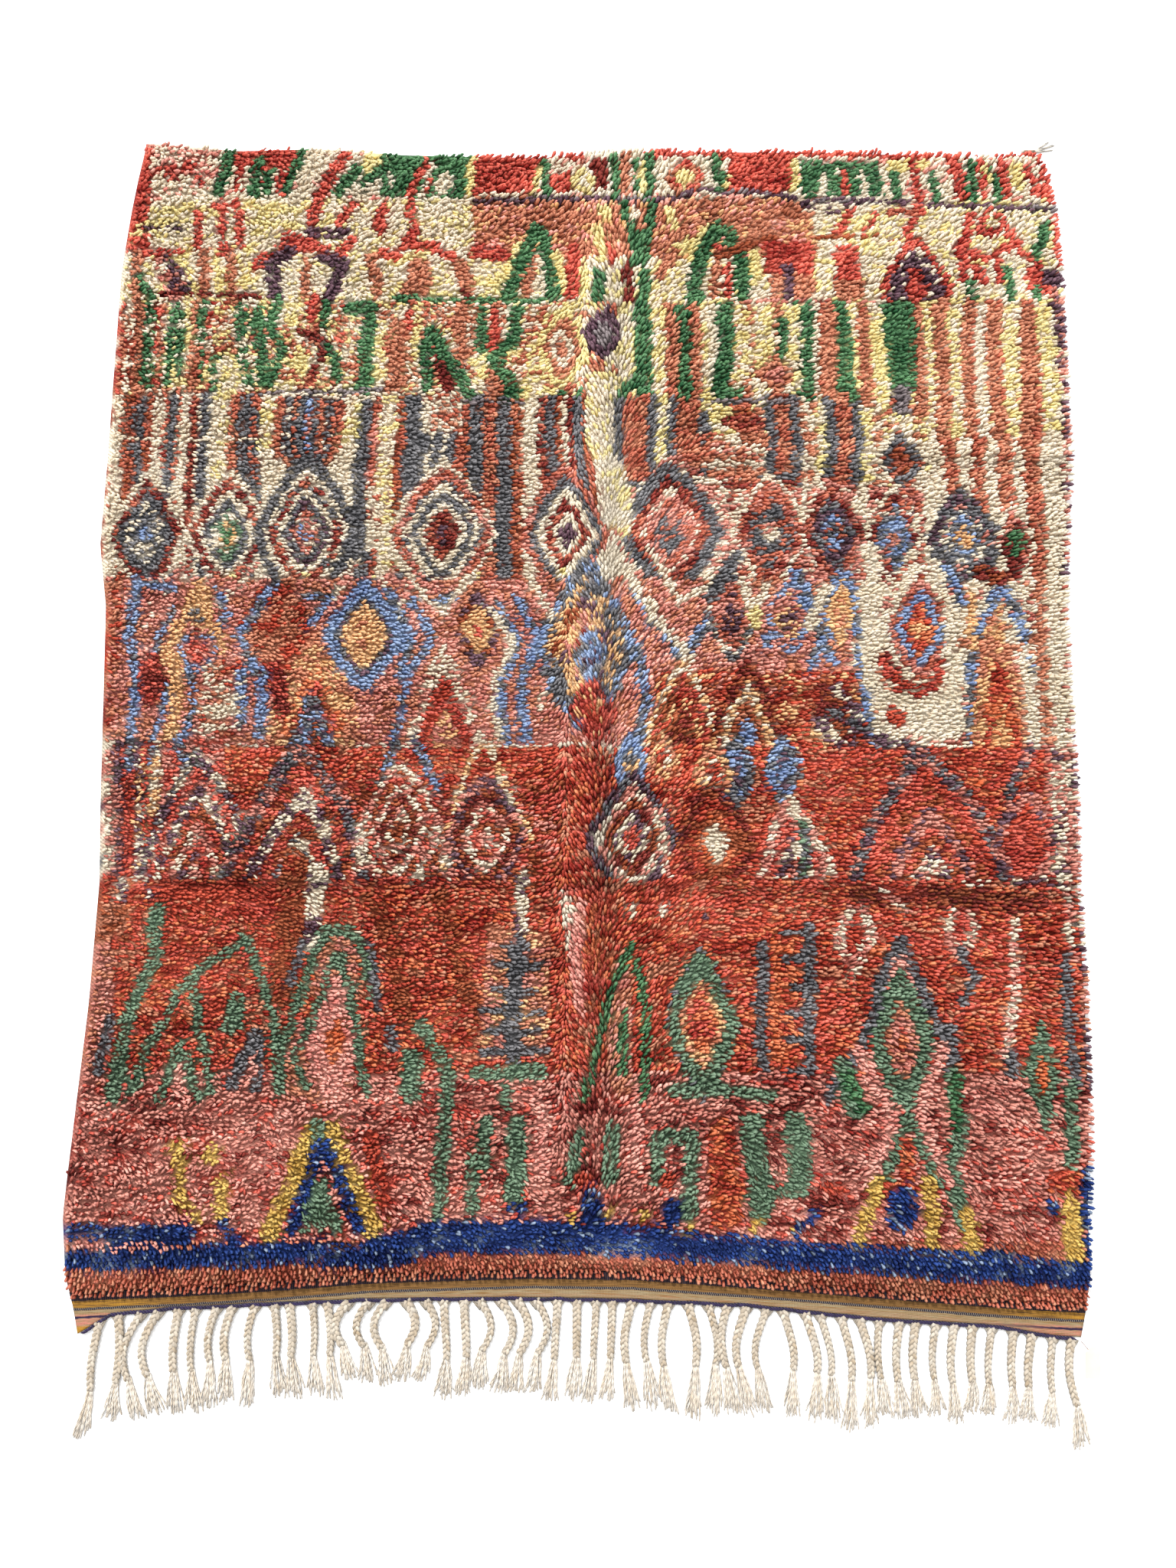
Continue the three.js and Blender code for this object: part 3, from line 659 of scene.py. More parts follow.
    ("stroke", "sky/sky/slate", """1.7 -77,20 -77.5,10 -76,3 -76,-11; 1.3 -71,18 -75.5,19;
        1.3 -70.5,15 -73,8 -71,0 -72.5,-12; 1.2 -67.5,5 -66,-3 -68,-11; 1.3 -63.5,18 -61,14 -63,12;
        1.5 -53,19 -59.5,10 -56,4; 1.5 -58.5,4 -57.5,-5; 1.9 -55,4 -54.5,-7;
        1.4 -48,17 -44,17 -47,12; 1.5 -34,18 -30.5,11 -31.5,3;
        1.5 -29.5,16 -27,10 -30,3 -32.5,-8 -35,-15; 1.5 -28.5,-8 -25.5,-16; 2 -47,-1 -47.5,-8;
        2 -25.5,16 -21.5,17.5; 1.7 -15,16 -11.5,9 -13.5,3 -14,-8; 1.8 -12,17 -8,10 -10.5,2 -10.5,-8;
        1.8 4,14 9,6 10,-2 8,-9; 1.8 8,18 15,7; 1.8 22,16 16,6; 2 35.5,21 30,9;
        1.8 36.5,20 37.5,13 41,10; 2 43,21 40,10; 1.8 44,21 46,10; 1.7 38,5 40,9 42,5;
        1.6 46.5,9 46.5,5 47.5,-8; 2.4 27,0 26.5,-8; 1.7 69,18 65,6 64,-8; 1.6 70.5,18 74,10 74.5,3;
        1.6 61,22 63,16"""),
    ("stroke", "peach", """2.2 -66.5,19 -71.5,6; 2.2 -66.5,19 -62.5,8; 2.4 -69.5,6 -69,-12;
        1.6 64.5,17 65.5,8"""),
    ("ring", "sky/rose rose/brick", "3.4,4.5 -66,8"),
    ("ring", "brick/maroon", "2.6,5 -73.5,2.5"),
    ("ring", "peach/slate", "1.6,3 -66.5,14"),
    ("ring", "sky:1.3 plum/slate:0.5 peach:1.4 peach/salmon", "6.8,10 -38,10"),
    ("ring", "salmon/rose:0.8 plum/brown:0.7 peach peach/brick:0.6", "5.2,9 -18.5,11"),
    ("ring", "sky/slate peach/slate plum/peach peach/rose maroon/rose", "8.5,16 0,8"),
    ("ring", "sky/slate plum/sky", "3,5 1,6.5"),
    ("ring", "brick/maroon peach/brick vermilion", "4,6 1,-3"),
    ("ring", "cream/slate rust/rose plum/rose salmon/plum", "4.6,9 24,14"),
    ("ring", "sky/rose peach/rose plum/peach", "4,7 34,13"),
    ("ring", "peach peach/salmon", "2.4,6 43,14"),
    ("ring", "cream rust/rose sky orange/vermilion peach/orange", "6.6,11.5 56.5,11"),
    ("ring", "peach/salmon:1.4 vermilion/orange peach/orange:1.2", "5.2,24 69,-8"),
    ("block", "cream", "49.5,62.5 -7.5,1"),
    ("stroke", "cream", """1.3 -34,25 -24.5,14 -18,22; 1.4 -25,8 -29,-7; 1.3 -24,7 -19,-8;
        1.4 -16,15 -12.5,9 -14.8,3 -15.5,-7; 1.3 -10,21 -5.5,13; 1.8 4,26 12,12 17,6;
        1.3 11,25 15.5,16 21,19; 1.6 26,20 28,12 30,18; 2.4 40,18 38,12; 3 48.5,25 48,2;
        2 79,20 79,-8; 1.6 74,8 74,-8; 0.8 -65,2 -58,2; 0.8 -65,-0.5 -58,-0.5; 0.8 -65,-3 -58,-3;
        0.8 -65,-6 -58,-6; 1.6 62,-2 61,14"""),
    ("ring", "cream/rose:1.1 vermilion/brick:1.3 rose/peach:1.4", "6.4,16 -24,-8"),
    ("ring", "peach/cream:0.8 brown/brick:1.1 peach/vermilion:0.8 brown/maroon:2", "6.4,14 16,-8"),
    ("ring", "brown/maroon peach/cream:0.8 brown/salmon:0.8 sky:1.2", "6.4,16 27,-9"),
    ("ring", "maroon/plum/cream brown/maroon", "4.6,6.5 42,-4"),
    ("stroke", "brick/vermilion", "1.8 50,6 52,3 56,0 59,2 60,5; 1.2 52,1 59,1"),
    ("stroke", "vermilion", "2.8 51.5,-3 52.5,-4"),
    ("stroke", "maroon/brown", """1.4 -66.5,11.2 -66.4,10.8; 1.4 57,20.3 57,20; 2.4 40,2 42,-6;
        3 67,21 69,20"""),
    ("stroke", "plum/slate", """1.6 -18.5,17.3 -18.3,16; 1.2 -46.5,-6.8 -46.5,-7; 1.6 41,-3 46,-7;
        2 48,-8 54,-9"""),
    ("stroke", "sky/slate/plum", "1.8 -46.5,-1 -49,-9; 1.8 -46.5,-1 -43.5,-9"),
    ("stroke", "peach/brown", "2 -2,14 -5,7"),
    ("stroke", "plum/cream", "1.4 49,-7 53,-9"),
    ("stroke", "slate", "2.2 25,24 21,17"),
    ("stroke", "straw", "2.6 28.3,13.8 28.3,13"),

    # vermilion field with wheels and peaks
    ("ground", """vermilion/salmon brick/vermilion vermilion/orange salmon/vermilion vermilion/brick""",
     "-90,90 -62,-9"),
    ("ground", "brown/brick vermilion/brown brick/rose brown/maroon", "-50,-4 -31,-15"),
    ("columns", """plum/cream/slate:2.5 rose/cream:2.6 plum/rose:1.4 brick/vermilion:1.8
        cream/plum/peach:1.4 vermilion/brick:2 cream/rose rose/brick:2 brick/rose:8""",
     "-84,-60 -30.5,-8"),
    ("stroke", "peach/cream", "1.6 -71.5,-9 -72,-20"),
    ("stroke", "sky/slate", "1.6 -76,-8 -76,-12; 1.3 -72.5,-8 -72.5,-11; 1.6 -68,-8 -66.5,-12"),
    ("ring", """plum/cream/slate brick/rose cream/plum brown/brick cream/rose brown/brick/plum
        rose/cream""",
     "10,22 -64.5,-31"),
    ("ring", """plum/slate/rose brown/brick plum/cream brick/brown cream/slate/rose rose/slate/plum""",
     "12.5,23 -48,-31"),
    ("stroke", "sky/slate", "1.5 -32.5,-9 -35,-15; 1.5 -29,-8 -25.5,-16"),
    ("ring", "cream/rose:1 brown/brick cream/rose brown/maroon cream/rose brown", "7.2,12 -31.5,-23"),
    ("stroke", "cream/peach", "1.3 -18,-8 -21,-14 -24,-29; 1.3 -17,-8 -14.5,-14 -9.5,-24"),
    ("ring", "plum/rose brown/maroon cream/rose brown/brick cream/rose", "6.8,10.5 -17,-24"),
    ("stroke", "cream/rose", "1 -27,-31 -28,-22 -26,-17; 1.2 -37,-20 -38,-30; 1 -22.5,-31 -23.5,-24"),
    ("ring", "sky/slate plum/sky", "3,6.5 25.5,-13; 3,6.5 33,-13"),
    ("ring", "peach/salmon cream/vermilion", "3,4 13,-11; 3.4,6.5 21.5,-14"),
    ("ring", "sky peach/slate", "3.4,6 7,-12"),
    ("ring", "plum/slate cream/rose brown/maroon cream/plum brick/vermilion", "7.5,11 7.5,-24"),
    ("stroke", "cream/rose", "1.2 12.5,-20 13,-31"),
    ("ring", "brown/maroon brown/vermilion:1.2 brown/orange cream:1.5", "6.6,10.5 21,-25"),
    ("ring", "cream/rose rose/brick cream/plum vermilion/rose", "7,14 34,-31"),
    ("stroke", "sage/slate", "2 36,-22 34.5,-34"),
    ("ring", """plum/slate/rose vermilion/brick brick/brown plum/rose brown/brick cream/plum/rose
        rose/cream""",
     "14,23 56.5,-32"),
    ("stroke", "plum/slate/rose", "1.5 55,-9 50,-18 44,-30; 1.5 74,-9 69,-18; 1.4 77,-12 77,-28"),
    ("ring", "plum/rose brick/vermilion vermilion", "6,9 72.5,-25"),
    ("stroke", "vermilion/brick", "3.6 72,-22 72,-29"),
    ("columns", "brick/rose rose/cream/plum:2 cream/rose:2", "76,81 -31,-9"),
    ("ground", """vermilion/salmon brick/vermilion vermilion/orange salmon/vermilion vermilion/brick""",
     "-90,90 -62,-31"),
    ("ground", "rose/salmon rose salmon/pink", "-90,-77 -64,-35"),
    ("ring", "cream/rose vermilion/brick", "3.6,7 43.5,-40; 3,6 61,-39"),
    ("stroke", "brown/maroon/vermilion", "3.4 44,-33.5 60,-34 74,-35"),
    ("stroke", "plum/cream/rose", "3.4 82.4,-8 82,-46"),
    ("stroke", "plum/cream/maroon", """1 62,-31.5 66,-31.5; 1.4 70,-31 80,-32; 1.4 -76.5,-31 -76,-35;
        1.4 -72.5,-31 -72,-34"""),
    ("stroke", "cream/rose", "1.4 79,-32 79,-44; 2 -4,-34 -3,-42; 1.2 48,-33 52,-36"),

    # sage peaks, combs and nested points
    ("stroke", "vermilion", "3 -70,-33 -50,-33"),
    ("block", "brown/salmon", "-82,-75 -41,-35"),
    ("stroke", "brown/brown/vermilion", """4.2 -48.5,-28 -49,-50; 3.2 -35,-33 -31.5,-42 -29,-54;
        2.6 -24,-34 -20,-48 -14,-58"""),
    ("stroke", "cream/cream/plum", "3.2 -44.5,-30 -45,-41; 2.2 -11,-31 -11,-40"),
    ("block", "salmon/peach salmon/rose", "-17,-6.5 -60,-39.5"),
    ("stroke", "salmon/rose", """7 -41,-44 -41.5,-64; 4 -41,-41 -41,-44; 5 -46,-56 -46.5,-64;
        3.6 5,-46 5,-64"""),
    ("stroke", "orange/vermilion", "4 32,-42 32,-61"),
    ("stroke", "cream", "1.4 -37.5,-40 -37.5,-41; 1.3 7,-35.5 7,-36.5; 1.3 12,-35.5 12,-36.5"),
    ("stroke", "pink/cream", "1.6 70,-38 69,-50 67,-60"),
    ("stroke", "rose/salmon/plum", "3.4 82,-46 81.5,-64"),
    ("stroke", "slate", """2 -77,-54 -78.5,-62; 2 -53.5,-56 -56.5,-64; 2 -53.5,-56 -52.5,-64;
        1.4 -35.5,-42 -34,-52; 1.5 -46.5,-41 -48,-48; 2.4 -31.5,-56 -31.5,-58; 2.4 -12,-41 -12,-60;
        1.2 -14,-42 -10,-42; 1.2 -16,-45 -8,-45; 1.2 -15.5,-49 -8.5,-49; 1.2 -17,-52.3 -7.5,-52.3;
        1.2 -16,-55.5 -8,-55.5; 1.2 -17,-58.7 -7,-58.7; 2 28,-42 28,-61; 2.2 36,-39 36,-62;
        1.2 32,-40 36,-40; 1.2 32,-44 36,-44; 1.2 32.5,-48.5 36,-48.5; 1.2 32.5,-52.5 36,-52.5;
        1.2 32.5,-57 36,-57; 1.2 32,-62 36,-62; 1.8 50.5,-41 46.5,-52 43,-60 38.5,-66;
        1.8 51.5,-41 55.5,-52 59,-60; 1.5 61,-43 63,-47 61,-51; 2 58.5,-55 58.5,-62;
        1.8 78,-44 78,-64; 2.2 68.5,-60 68.5,-62"""),
    ("stroke", "orange", """1.6 30.3,-42 30.3,-60; 1.6 33.5,-46 33.5,-47; 1.6 33.5,-55 33.5,-55.5;
        2.2 -41,-56 -41,-58"""),
    ("stroke", "pink", """1.8 -1.5,-35 -2.5,-44 -1.5,-52; 1.6 -53.5,-60 -53.5,-62;
        2 -65.5,-61 -65.5,-63; 1.6 51,-44 48,-54 45.5,-62; 1.6 51.5,-44 54,-54 56.5,-61"""),
    ("ring", "pink:2 orange", "4.5,11 -41,-57"),
    ("ring", "slate/sage:0.5 sage:1.5 peach/salmon:0.9 orange/brick:2.2", "6,12.5 18.5,-54.5"),
    ("ring", "sage:1.3 rose/salmon orange/brick:0.5", "5,11.5 51,-57"),
    ("ring", "sage:1.6 orange", "2.6,9 73,-62.5"),
    ("stroke", "pink", "2.4 -65.5,-62 -65.5,-65"),
    ("stroke", "sage", """2.4 -70.5,-36 -70.5,-43 -74,-53 -76,-66;
        1.6 -56,-40.5 -57,-42 -63,-46 -66,-49 -68,-54 -71,-58 -73,-65; 1.6 -64,-48 -62,-56 -60,-65;
        1.6 -55,-41 -52,-48 -50.5,-56 -49,-65; 1.8 -65.5,-58 -69,-66; 1.8 -65.5,-58 -62.5,-66;
        3 -56.5,-51 -57,-54.5; 1.5 -42,-39.3 -44.5,-43 -46.5,-50 -49.5,-58 -49,-65;
        1.8 -43.5,-39.3 -38.5,-39.3; 1.4 -41.3,-43.5 -43.5,-50 -47,-59 -45,-65;
        1.4 -38,-40 -36.5,-44 -35.5,-50; 1.5 -40.5,-43.5 -38,-53 -35.7,-65; 3.4 -28.5,-60 -28.5,-65;
        2.4 -26.5,-55 -23,-61 -22.5,-70 -24,-84; 2.6 -18,-62 -8,-62; 2 -13,-65 -13,-67;
        2 24.5,-65 29,-66; 2.2 14,-65 22,-65; 1.8 50.5,-69 47.5,-79; 1.8 51.5,-69 55,-79;
        2.6 59,-63 59,-70 57.5,-78 59,-85; 2 77.5,-64 77,-76; 3.4 41.5,-61 43.5,-68"""),
    ("stroke", "green", """1.6 7,-42 3,-50 1,-58 -0.5,-66; 1.6 8,-44 9.5,-52 9,-66;
        1.8 5.5,-53 5.5,-62; 2 42,-62 44.5,-68; 2 59.5,-63 58.5,-70"""),
    ("stroke", "vermilion/orange", "2.4 50.5,-73 50.5,-79; 1.6 47.5,-79.5 53,-80"),
    ("stroke", "pink", "1.8 44,-58 46,-64 49,-68 45,-79; 1.8 57.5,-58 55,-65 52.5,-69 57,-79"),
    ("stroke", "plum", "1.4 19,-37.3 19,-37.7"),

    # dusty rose band with ochre and blue points
    ("stroke", "sage", """2.4 -16,-70 -16,-76; 2.4 -18,-76 -18,-83; 3 -11,-70 -11,-82;
        2 -1.5,-72 -2.5,-79; 2.6 4,-71 4,-78.5; 2.4 11.5,-79 11.5,-72 17,-72 16,-84;
        3.5 26.5,-70 27,-84; 4 33.5,-70 33.5,-79; 1.8 25,-80.7 34,-80.7; 3 -42.5,-80 -42.5,-85;
        2 -42.5,-80 -45,-86; 2 -42.5,-80 -39.5,-86"""),
    ("stroke", "pink", "2 -7,-68 -7,-78; 2 8,-68 8,-76"),
    ("stroke", "vermilion/orange", "5 21.8,-72 21.8,-84; 4 74,-79 79,-79"),
    ("stroke", "vermilion", """2 -1,-78.5 1,-79; 2.4 -34,-72 -33,-82; 1.8 38,-80 41,-80;
        2.4 13,-78.5 13,-79.5"""),
    ("stroke", "ochre", """2.2 46.5,-79 43,-88; 2.2 53.5,-79 55,-88; 2 59.5,-84 61,-89;
        2.6 76,-82 76.5,-90; 3.2 -43,-71 -51,-87; 3.2 -40.5,-71 -34.5,-86; 2 -65,-74 -64.5,-82;
        2 -62.5,-83.5 -62.5,-84.5; 2.2 -59.5,-74 -59.5,-75.5; 2.2 -58.5,-79 -58.5,-84;
        1.4 33,-86 33,-86.4; 1.4 26.5,-86 26.5,-86.4; 1.4 16,-85.5 16,-86; 1.4 9,-84 9,-84.6;
        1.4 3,-84 3,-84.6; 1.4 -2.5,-84 -2.5,-84.6"""),
    ("stroke", "royal", """2.6 13.5,-83 13.5,-84.6; 3.4 1,-81.5 1,-86; 1.8 36,-84 36,-85;
        1.8 33.5,-86 33.5,-87; 4.4 50,-81.5 50,-84.5; 2 -11.5,-82.8 -10.3,-83; 2 73,-82.6 73,-83.4;
        3.4 79.8,-78 79.8,-94; 2 -42,-72 -47,-86; 2 -41.5,-73 -36.5,-86; 2 -58,-85.5 -56.5,-88;
        2.8 -86,-86.9 -64,-87; 2.8 -86,-91.2 -60,-90.4; 3.6 -62,-90.4 -35,-90;
        4.9 -34,-90 -25,-87.8 0,-87.8 20,-89.2; 4.6 20,-89 40,-90.5 60,-91.5 79,-93.5 86,-94"""),
    ("stroke", "sage", "2 -42.5,-71.5 -42.5,-70"),
    ("stroke", "pink/rose", "1.3 -86,-88.9 -66,-88.8"),
]


def readPairs(text):
    for entry in text.split(";"):
        yield [[float(part) for part in pair.split(",")] for pair in entry.split()]


def inStroke(x, y, stroke):
    (width,), *corners = stroke
    inside = np.zeros(len(x), bool)
    for (fromX, fromY), (toX, toY) in zip(corners, corners[1:]):
        inside |= awayFromLine(x, y, fromX, fromY, toX, toY) < width / 2
    return inside


# How far out each place lies in a pointed ring: 0 at its middle and 1 at its edge.
def ringShare(x, y, ring):
    (halfWidth, halfHeight), (middleX, middleY) = ring
    power = 1.25
    return (np.abs((x - middleX) / halfWidth) ** power
            + np.abs((y - middleY) / halfHeight) ** power) ** (1 / power)


# The yarn of each place, x and y in centimetres. Edges wander, a little more from row to row.
def yarnAt(x, y):
    names = list(yarns)
    count = len(x)
    found = np.zeros(count, int)
    patch = 0.5 + 0.5 * swellAt(x / 4.6, y / 1.5, 5) + 0.3 * swellAt(x / 10, y / 5, 9)
    patch = np.clip(patch + 0.10 * draw.standard_normal(count), 0, 0.999)
    fleck = 0.5 + 0.52 * swellAt(x / 2.3, y / 0.75, 13) + 0.15 * draw.standard_normal(count)
    fleck = np.clip(fleck, 0, 0.999)
    wanderX = (x + 0.7 * swellAt(x / 14, y / 9, 37) + 0.25 * swellAt(x / 6, y / 2.6, 23)
               + 0.26 * swellAt(x / 5, y / 0.62, 29) + 0.06 * draw.standard_normal(count))
    wanderY = y + 0.4 * swellAt(x / 5, y / 6, 31) + 0.06 * draw.standard_normal(count)
    for kind, mixed, text in chart:
        tokens = [token.partition(":") for token in mixed.split()]
        picks = []
        for token, _, _ in tokens:
            marl = np.array([names.index(name) for name in token.split("/")])
            picks.append(marl[(fleck * len(marl)).astype(int)])
        widths = np.cumsum([0] + [float(width or 1) for _, _, width in tokens])
        edges = widths[1:-1] / widths[-1]
        for entry in readPairs(text):
            if kind == "ring":
                share = ringShare(wanderX, wanderY, entry)
                inside = share < 1
                order = np.searchsorted(edges, 1 - share)
            elif kind == "stroke":
                inside = inStroke(wanderX, wanderY, entry)
                order = np.zeros(count, int)
            else:
                (left, right), (low, high) = entry
                inside = (wanderX > left) & (wanderX < right) & (wanderY > low) & (wanderY < high)
                run = (wanderX - left) / (right - left) if kind == "columns" else patch
                order = np.searchsorted(edges, run)
            found[inside] = np.stack(picks)[order, np.arange(count)][inside]
    return found


# Yarn colours with the unevenness of hand dyeing: by row, by patch and by knot. Painted light and shade go
# in too: lighter towards the top of the rug, darker towards its foot, and painted shade in the creases.
def dyeAndShadeAt(x, y):
    found = yarnAt(x, y)
    dark = linearOf([pair[0] for pair in yarns.values()])[found]
    light = linearOf([pair[1] for pair in yarns.values()])[found]
    tone = 0.5 + 0.34 * swellAt(x / 3.0, y / 0.8, 61) + 0.18 * draw.standard_normal(len(x))
    tone += 0.25 * swellAt(x / 9, y / 3.5, 67)
    colour = mix(dark, light, np.clip(tone, 0, 1)[:, None])
    flecks = (found == list(yarns).index("royal")) & (draw.random(len(x)) < 0.12)
    colour[flecks] = linearOf(yarns["sky"][1]) * mix(0.25, 0.8, draw.random(flecks.sum()))[:, None]
    # painted light: lighter towards the top of the rug and darker towards its foot, on top of the real
    # row-to-row unevenness of the dye
    row = (1 + 0.08 * swellAt(x / 22, y / 1.3, 71)) * mix(0.88, 1.08, smooth((y + 100) / 170))
    # painted shade in the creases of the pile
    row *= 1 - pileRelief["shadePerDepth"] * creaseAt(x * 10, y * 10)
    return np.minimum(colour * row[:, None], 0.97)


def woolFinish():
    board = Board("handSpunWool")
    dyeAndShade = board.attribute("yarnColour", "Color")
    along, around, seed = board.split(board.attribute("strandPlace"))
    streakPlace = board.join(around * 2.4 + seed * 57, along * 0.7 + seed * 31, seed * 11)
    streak = board.noise(streakPlace, 5.0, 3.0)
    # painted shade: towards its root the wool is darkened into a deeper tone of its own colour, which is
    # faint in pale wool
    pale = board.split(dyeAndShade)[1].above(0.3, 0.35)
    deep = board.shaded(board.blend(0.65, dyeAndShade, dyeAndShade, "MULTIPLY"), pale * 0.55 + 0.84)
    fleece = board.blend(along.above(0.05, 0.6), deep, dyeAndShade)
    fleece = board.shaded(fleece, streak * 0.3 + 0.87)
    # painted highlight: the lit tips are lightened and paled streak by streak, more in dark wool than in
    # pale
    tip = along.above(0.42, 0.5) * streak.above(0.34, 0.4) * (0.48 - pale * 0.3)
    sheenTint = board.add("ShaderNodeGamma", inputs={"Color": dyeAndShade, "Gamma": 0.52})
    fleece = board.blend(tip, fleece, sheenTint)
    constants = {"Roughness": 0.86, "Specular IOR Level": 0.1}
    return board.finish(fleece, streak, 0.0012, constants)


def clothFinish():
    board = Board("knottedGround")
    dyeAndShade = board.attribute("yarnColour", "Color")
    x, y, z = board.split(board.add("ShaderNodeTexCoord", output="Object"))
    knots = (x * (2 * math.pi / 0.0088)).wave() * (y * (2 * math.pi / 0.0062)).wave()
    # painted shade: the cloth seen between the locks is darkened, less under pale wool, and shaded lighter
    # and darker over the knots
    pale = board.split(dyeAndShade)[1].above(0.3, 0.35)
    shade = knots * 0.1 + pale * 0.22 + 0.56
    cloud = board.noise(board.join(x, y, z), 120.0)
    ground = board.shaded(dyeAndShade, shade * (cloud * 0.4 + 0.8))
    return board.finish(ground, knots, 0.0008, {"Roughness": 0.92, "Specular IOR Level": 0.2})


# The knotted cloth with the matted foot of the pile: a sheet that lies on the floor, thin at its rim.
cloth = {
    "columns": 90,
    "rows": 108,
    "thickness": 8.5,
    "rimThickness": 3.2,
    "rimWidth": 30,
    "lift": 0.5,
    "unevenness": 0.4,
    "unevenPitch": 60,
    "inset": 4,
    "footInset": 11,
    "flat": (1.64, 1.98),
}


def buildCloth():
    sheet, across, up = addGrid("rugCloth", cloth["columns"], cloth["rows"])
    x, y = rugPlace(across, up, cloth["inset"], cloth["footInset"])
    pitch = cloth["unevenPitch"]
    z = cloth["lift"] + cloth["unevenness"] * (1 + swellAt(x / pitch, y / pitch, 3))
    placeCorners(sheet, np.stack([x, y, z], axis=-1))
    thicken(sheet, cloth["rimThickness"])
    bpy.ops.object.shade_smooth()
    points = cornersOf(sheet) / mm
    x, y, z = points.T
    rim = np.minimum(np.minimum(x - edgeAt("left", y), edgeAt("right", y) - x),
                     np.minimum(lineAt("top", x) - y, y - lineAt("foot", x)))
    swelling = cloth["thickness"] - cloth["rimThickness"] - 0.5 * creaseAt(x, y)
    onTop = z > cloth["lift"] + cloth["rimThickness"] / 2
    points[:, 2] += onTop * swelling * smooth(rim / cloth["rimWidth"])
    placeCorners(sheet, points)
    paintYarn(sheet.data, dyeAndShadeAt(points[:, 0] / 10, points[:, 1] / 10))
    dropFlatMaps(sheet)
    sheet.data.materials.append(clothFinish())
    print("cloth made")
    return sheet


# Pile locks, knotted in rows across the rug.
pile = {
    "rows": 290,
    "knots": 212,
    "sides": 3,
    "levels": (0.0, 0.3, 0.8, 1.0),
    "rootHeight": 2.5,
    "edgeInset": 6,
    "footInset": 5,
    "width": (0, 2.7, 2.9, 0),
    "thickness": (0, 2.2, 1.8, 0),
    "rimWidth": 20,
    "rimHeight": 8,
    "rimReach": 6,
    "innerReach": 20,
    "pieces": ("pileFoot", "pileLower", "pileMiddle", "pileUpper", "pileHead"),
}
# Which way the pile leans: degrees from straight across, counted left turning, along each long
# side. It hangs down at the foot, lies across above it, and turns up the rug next to the fold.
nap = {
    "leanY": (-930, -870, -500, 500, 1000),
    "leftLean": (-85, 10, 0, -20, -20),
    "rightLean": (-75, -20, 0, 0, 20),
    "footUp": (-910, -820),
    "foldTurn": 50,
    "foldTurnX": 60,
    "foldTurnWidth": 200,
    "y": (-1000, -880, -850, -700, -560, -250, 150, 350, 600, 800, 890, 1010),
    "scatter": (14, 18, 30, 24, 16, 14, 13, 15, 19, 22, 24, 24),
    "reach": (6, 9, 12, 13, 13, 13, 13, 13, 13, 13, 13, 12.5),
    "fullness": (1.08, 1.05, 1, 1, 1, 1, 1.02, 1.1, 1.18, 1.22, 1.24, 1.24),
    "foldX": (40, 30, 20, 20, 20, 20, 24, 34, 50, 60, 60, 60),
    "foldReach": 78,
    "foldReachMore": 1,
    "foldOpening": 62,
    "foldFoot": (-860, -740),
    "foldTop": (800, 900),
    "swayAcross": 34,
    "swayAlong": 26,
}


def napAt(x, y):
    left = np.interp(y, nap["leanY"], nap["leftLean"])
    right = np.interp(y, nap["leanY"], nap["rightLean"])
    lean = mix(left, right, smooth(x / (2 * outline["fieldHalfWidth"]) + 0.5))
    footLow, footHigh = nap["footUp"]
    aboveFoot = smooth((y - footLow) / (footHigh - footLow))
    nearFold = smooth(1 - np.abs(x - nap["foldTurnX"]) / nap["foldTurnWidth"])
    lean = lean + nap["foldTurn"] * nearFold * aboveFoot
    scatter = np.interp(y, nap["y"], nap["scatter"])
    lean = lean + 1.1 * scatter * swellAt(x / nap["swayAcross"], y / nap["swayAlong"], 43)
    lean = lean + 0.8 * scatter * draw.standard_normal(len(x))
    away = (x - np.interp(y, nap["y"], nap["foldX"])) / nap["foldReach"]
    opening = 90 - nap["foldOpening"] * np.clip(away * 1.6, -1, 1)
    (footLow, footHigh), (topLow, topHigh) = nap["foldFoot"], nap["foldTop"]
    alongFold = smooth((y - footLow) / (footHigh - footLow)) * smooth((topHigh - y) / (topHigh - topLow))
    inFold = smooth(1.25 - np.abs(away)) * alongFold
    lean = np.radians(mix(lean, opening + 0.5 * scatter * draw.standard_normal(len(x)), inFold))
    reach = np.interp(y, nap["y"], nap["reach"]) + nap["foldReachMore"] * inFold
    return np.cos(lean), np.sin(lean), reach


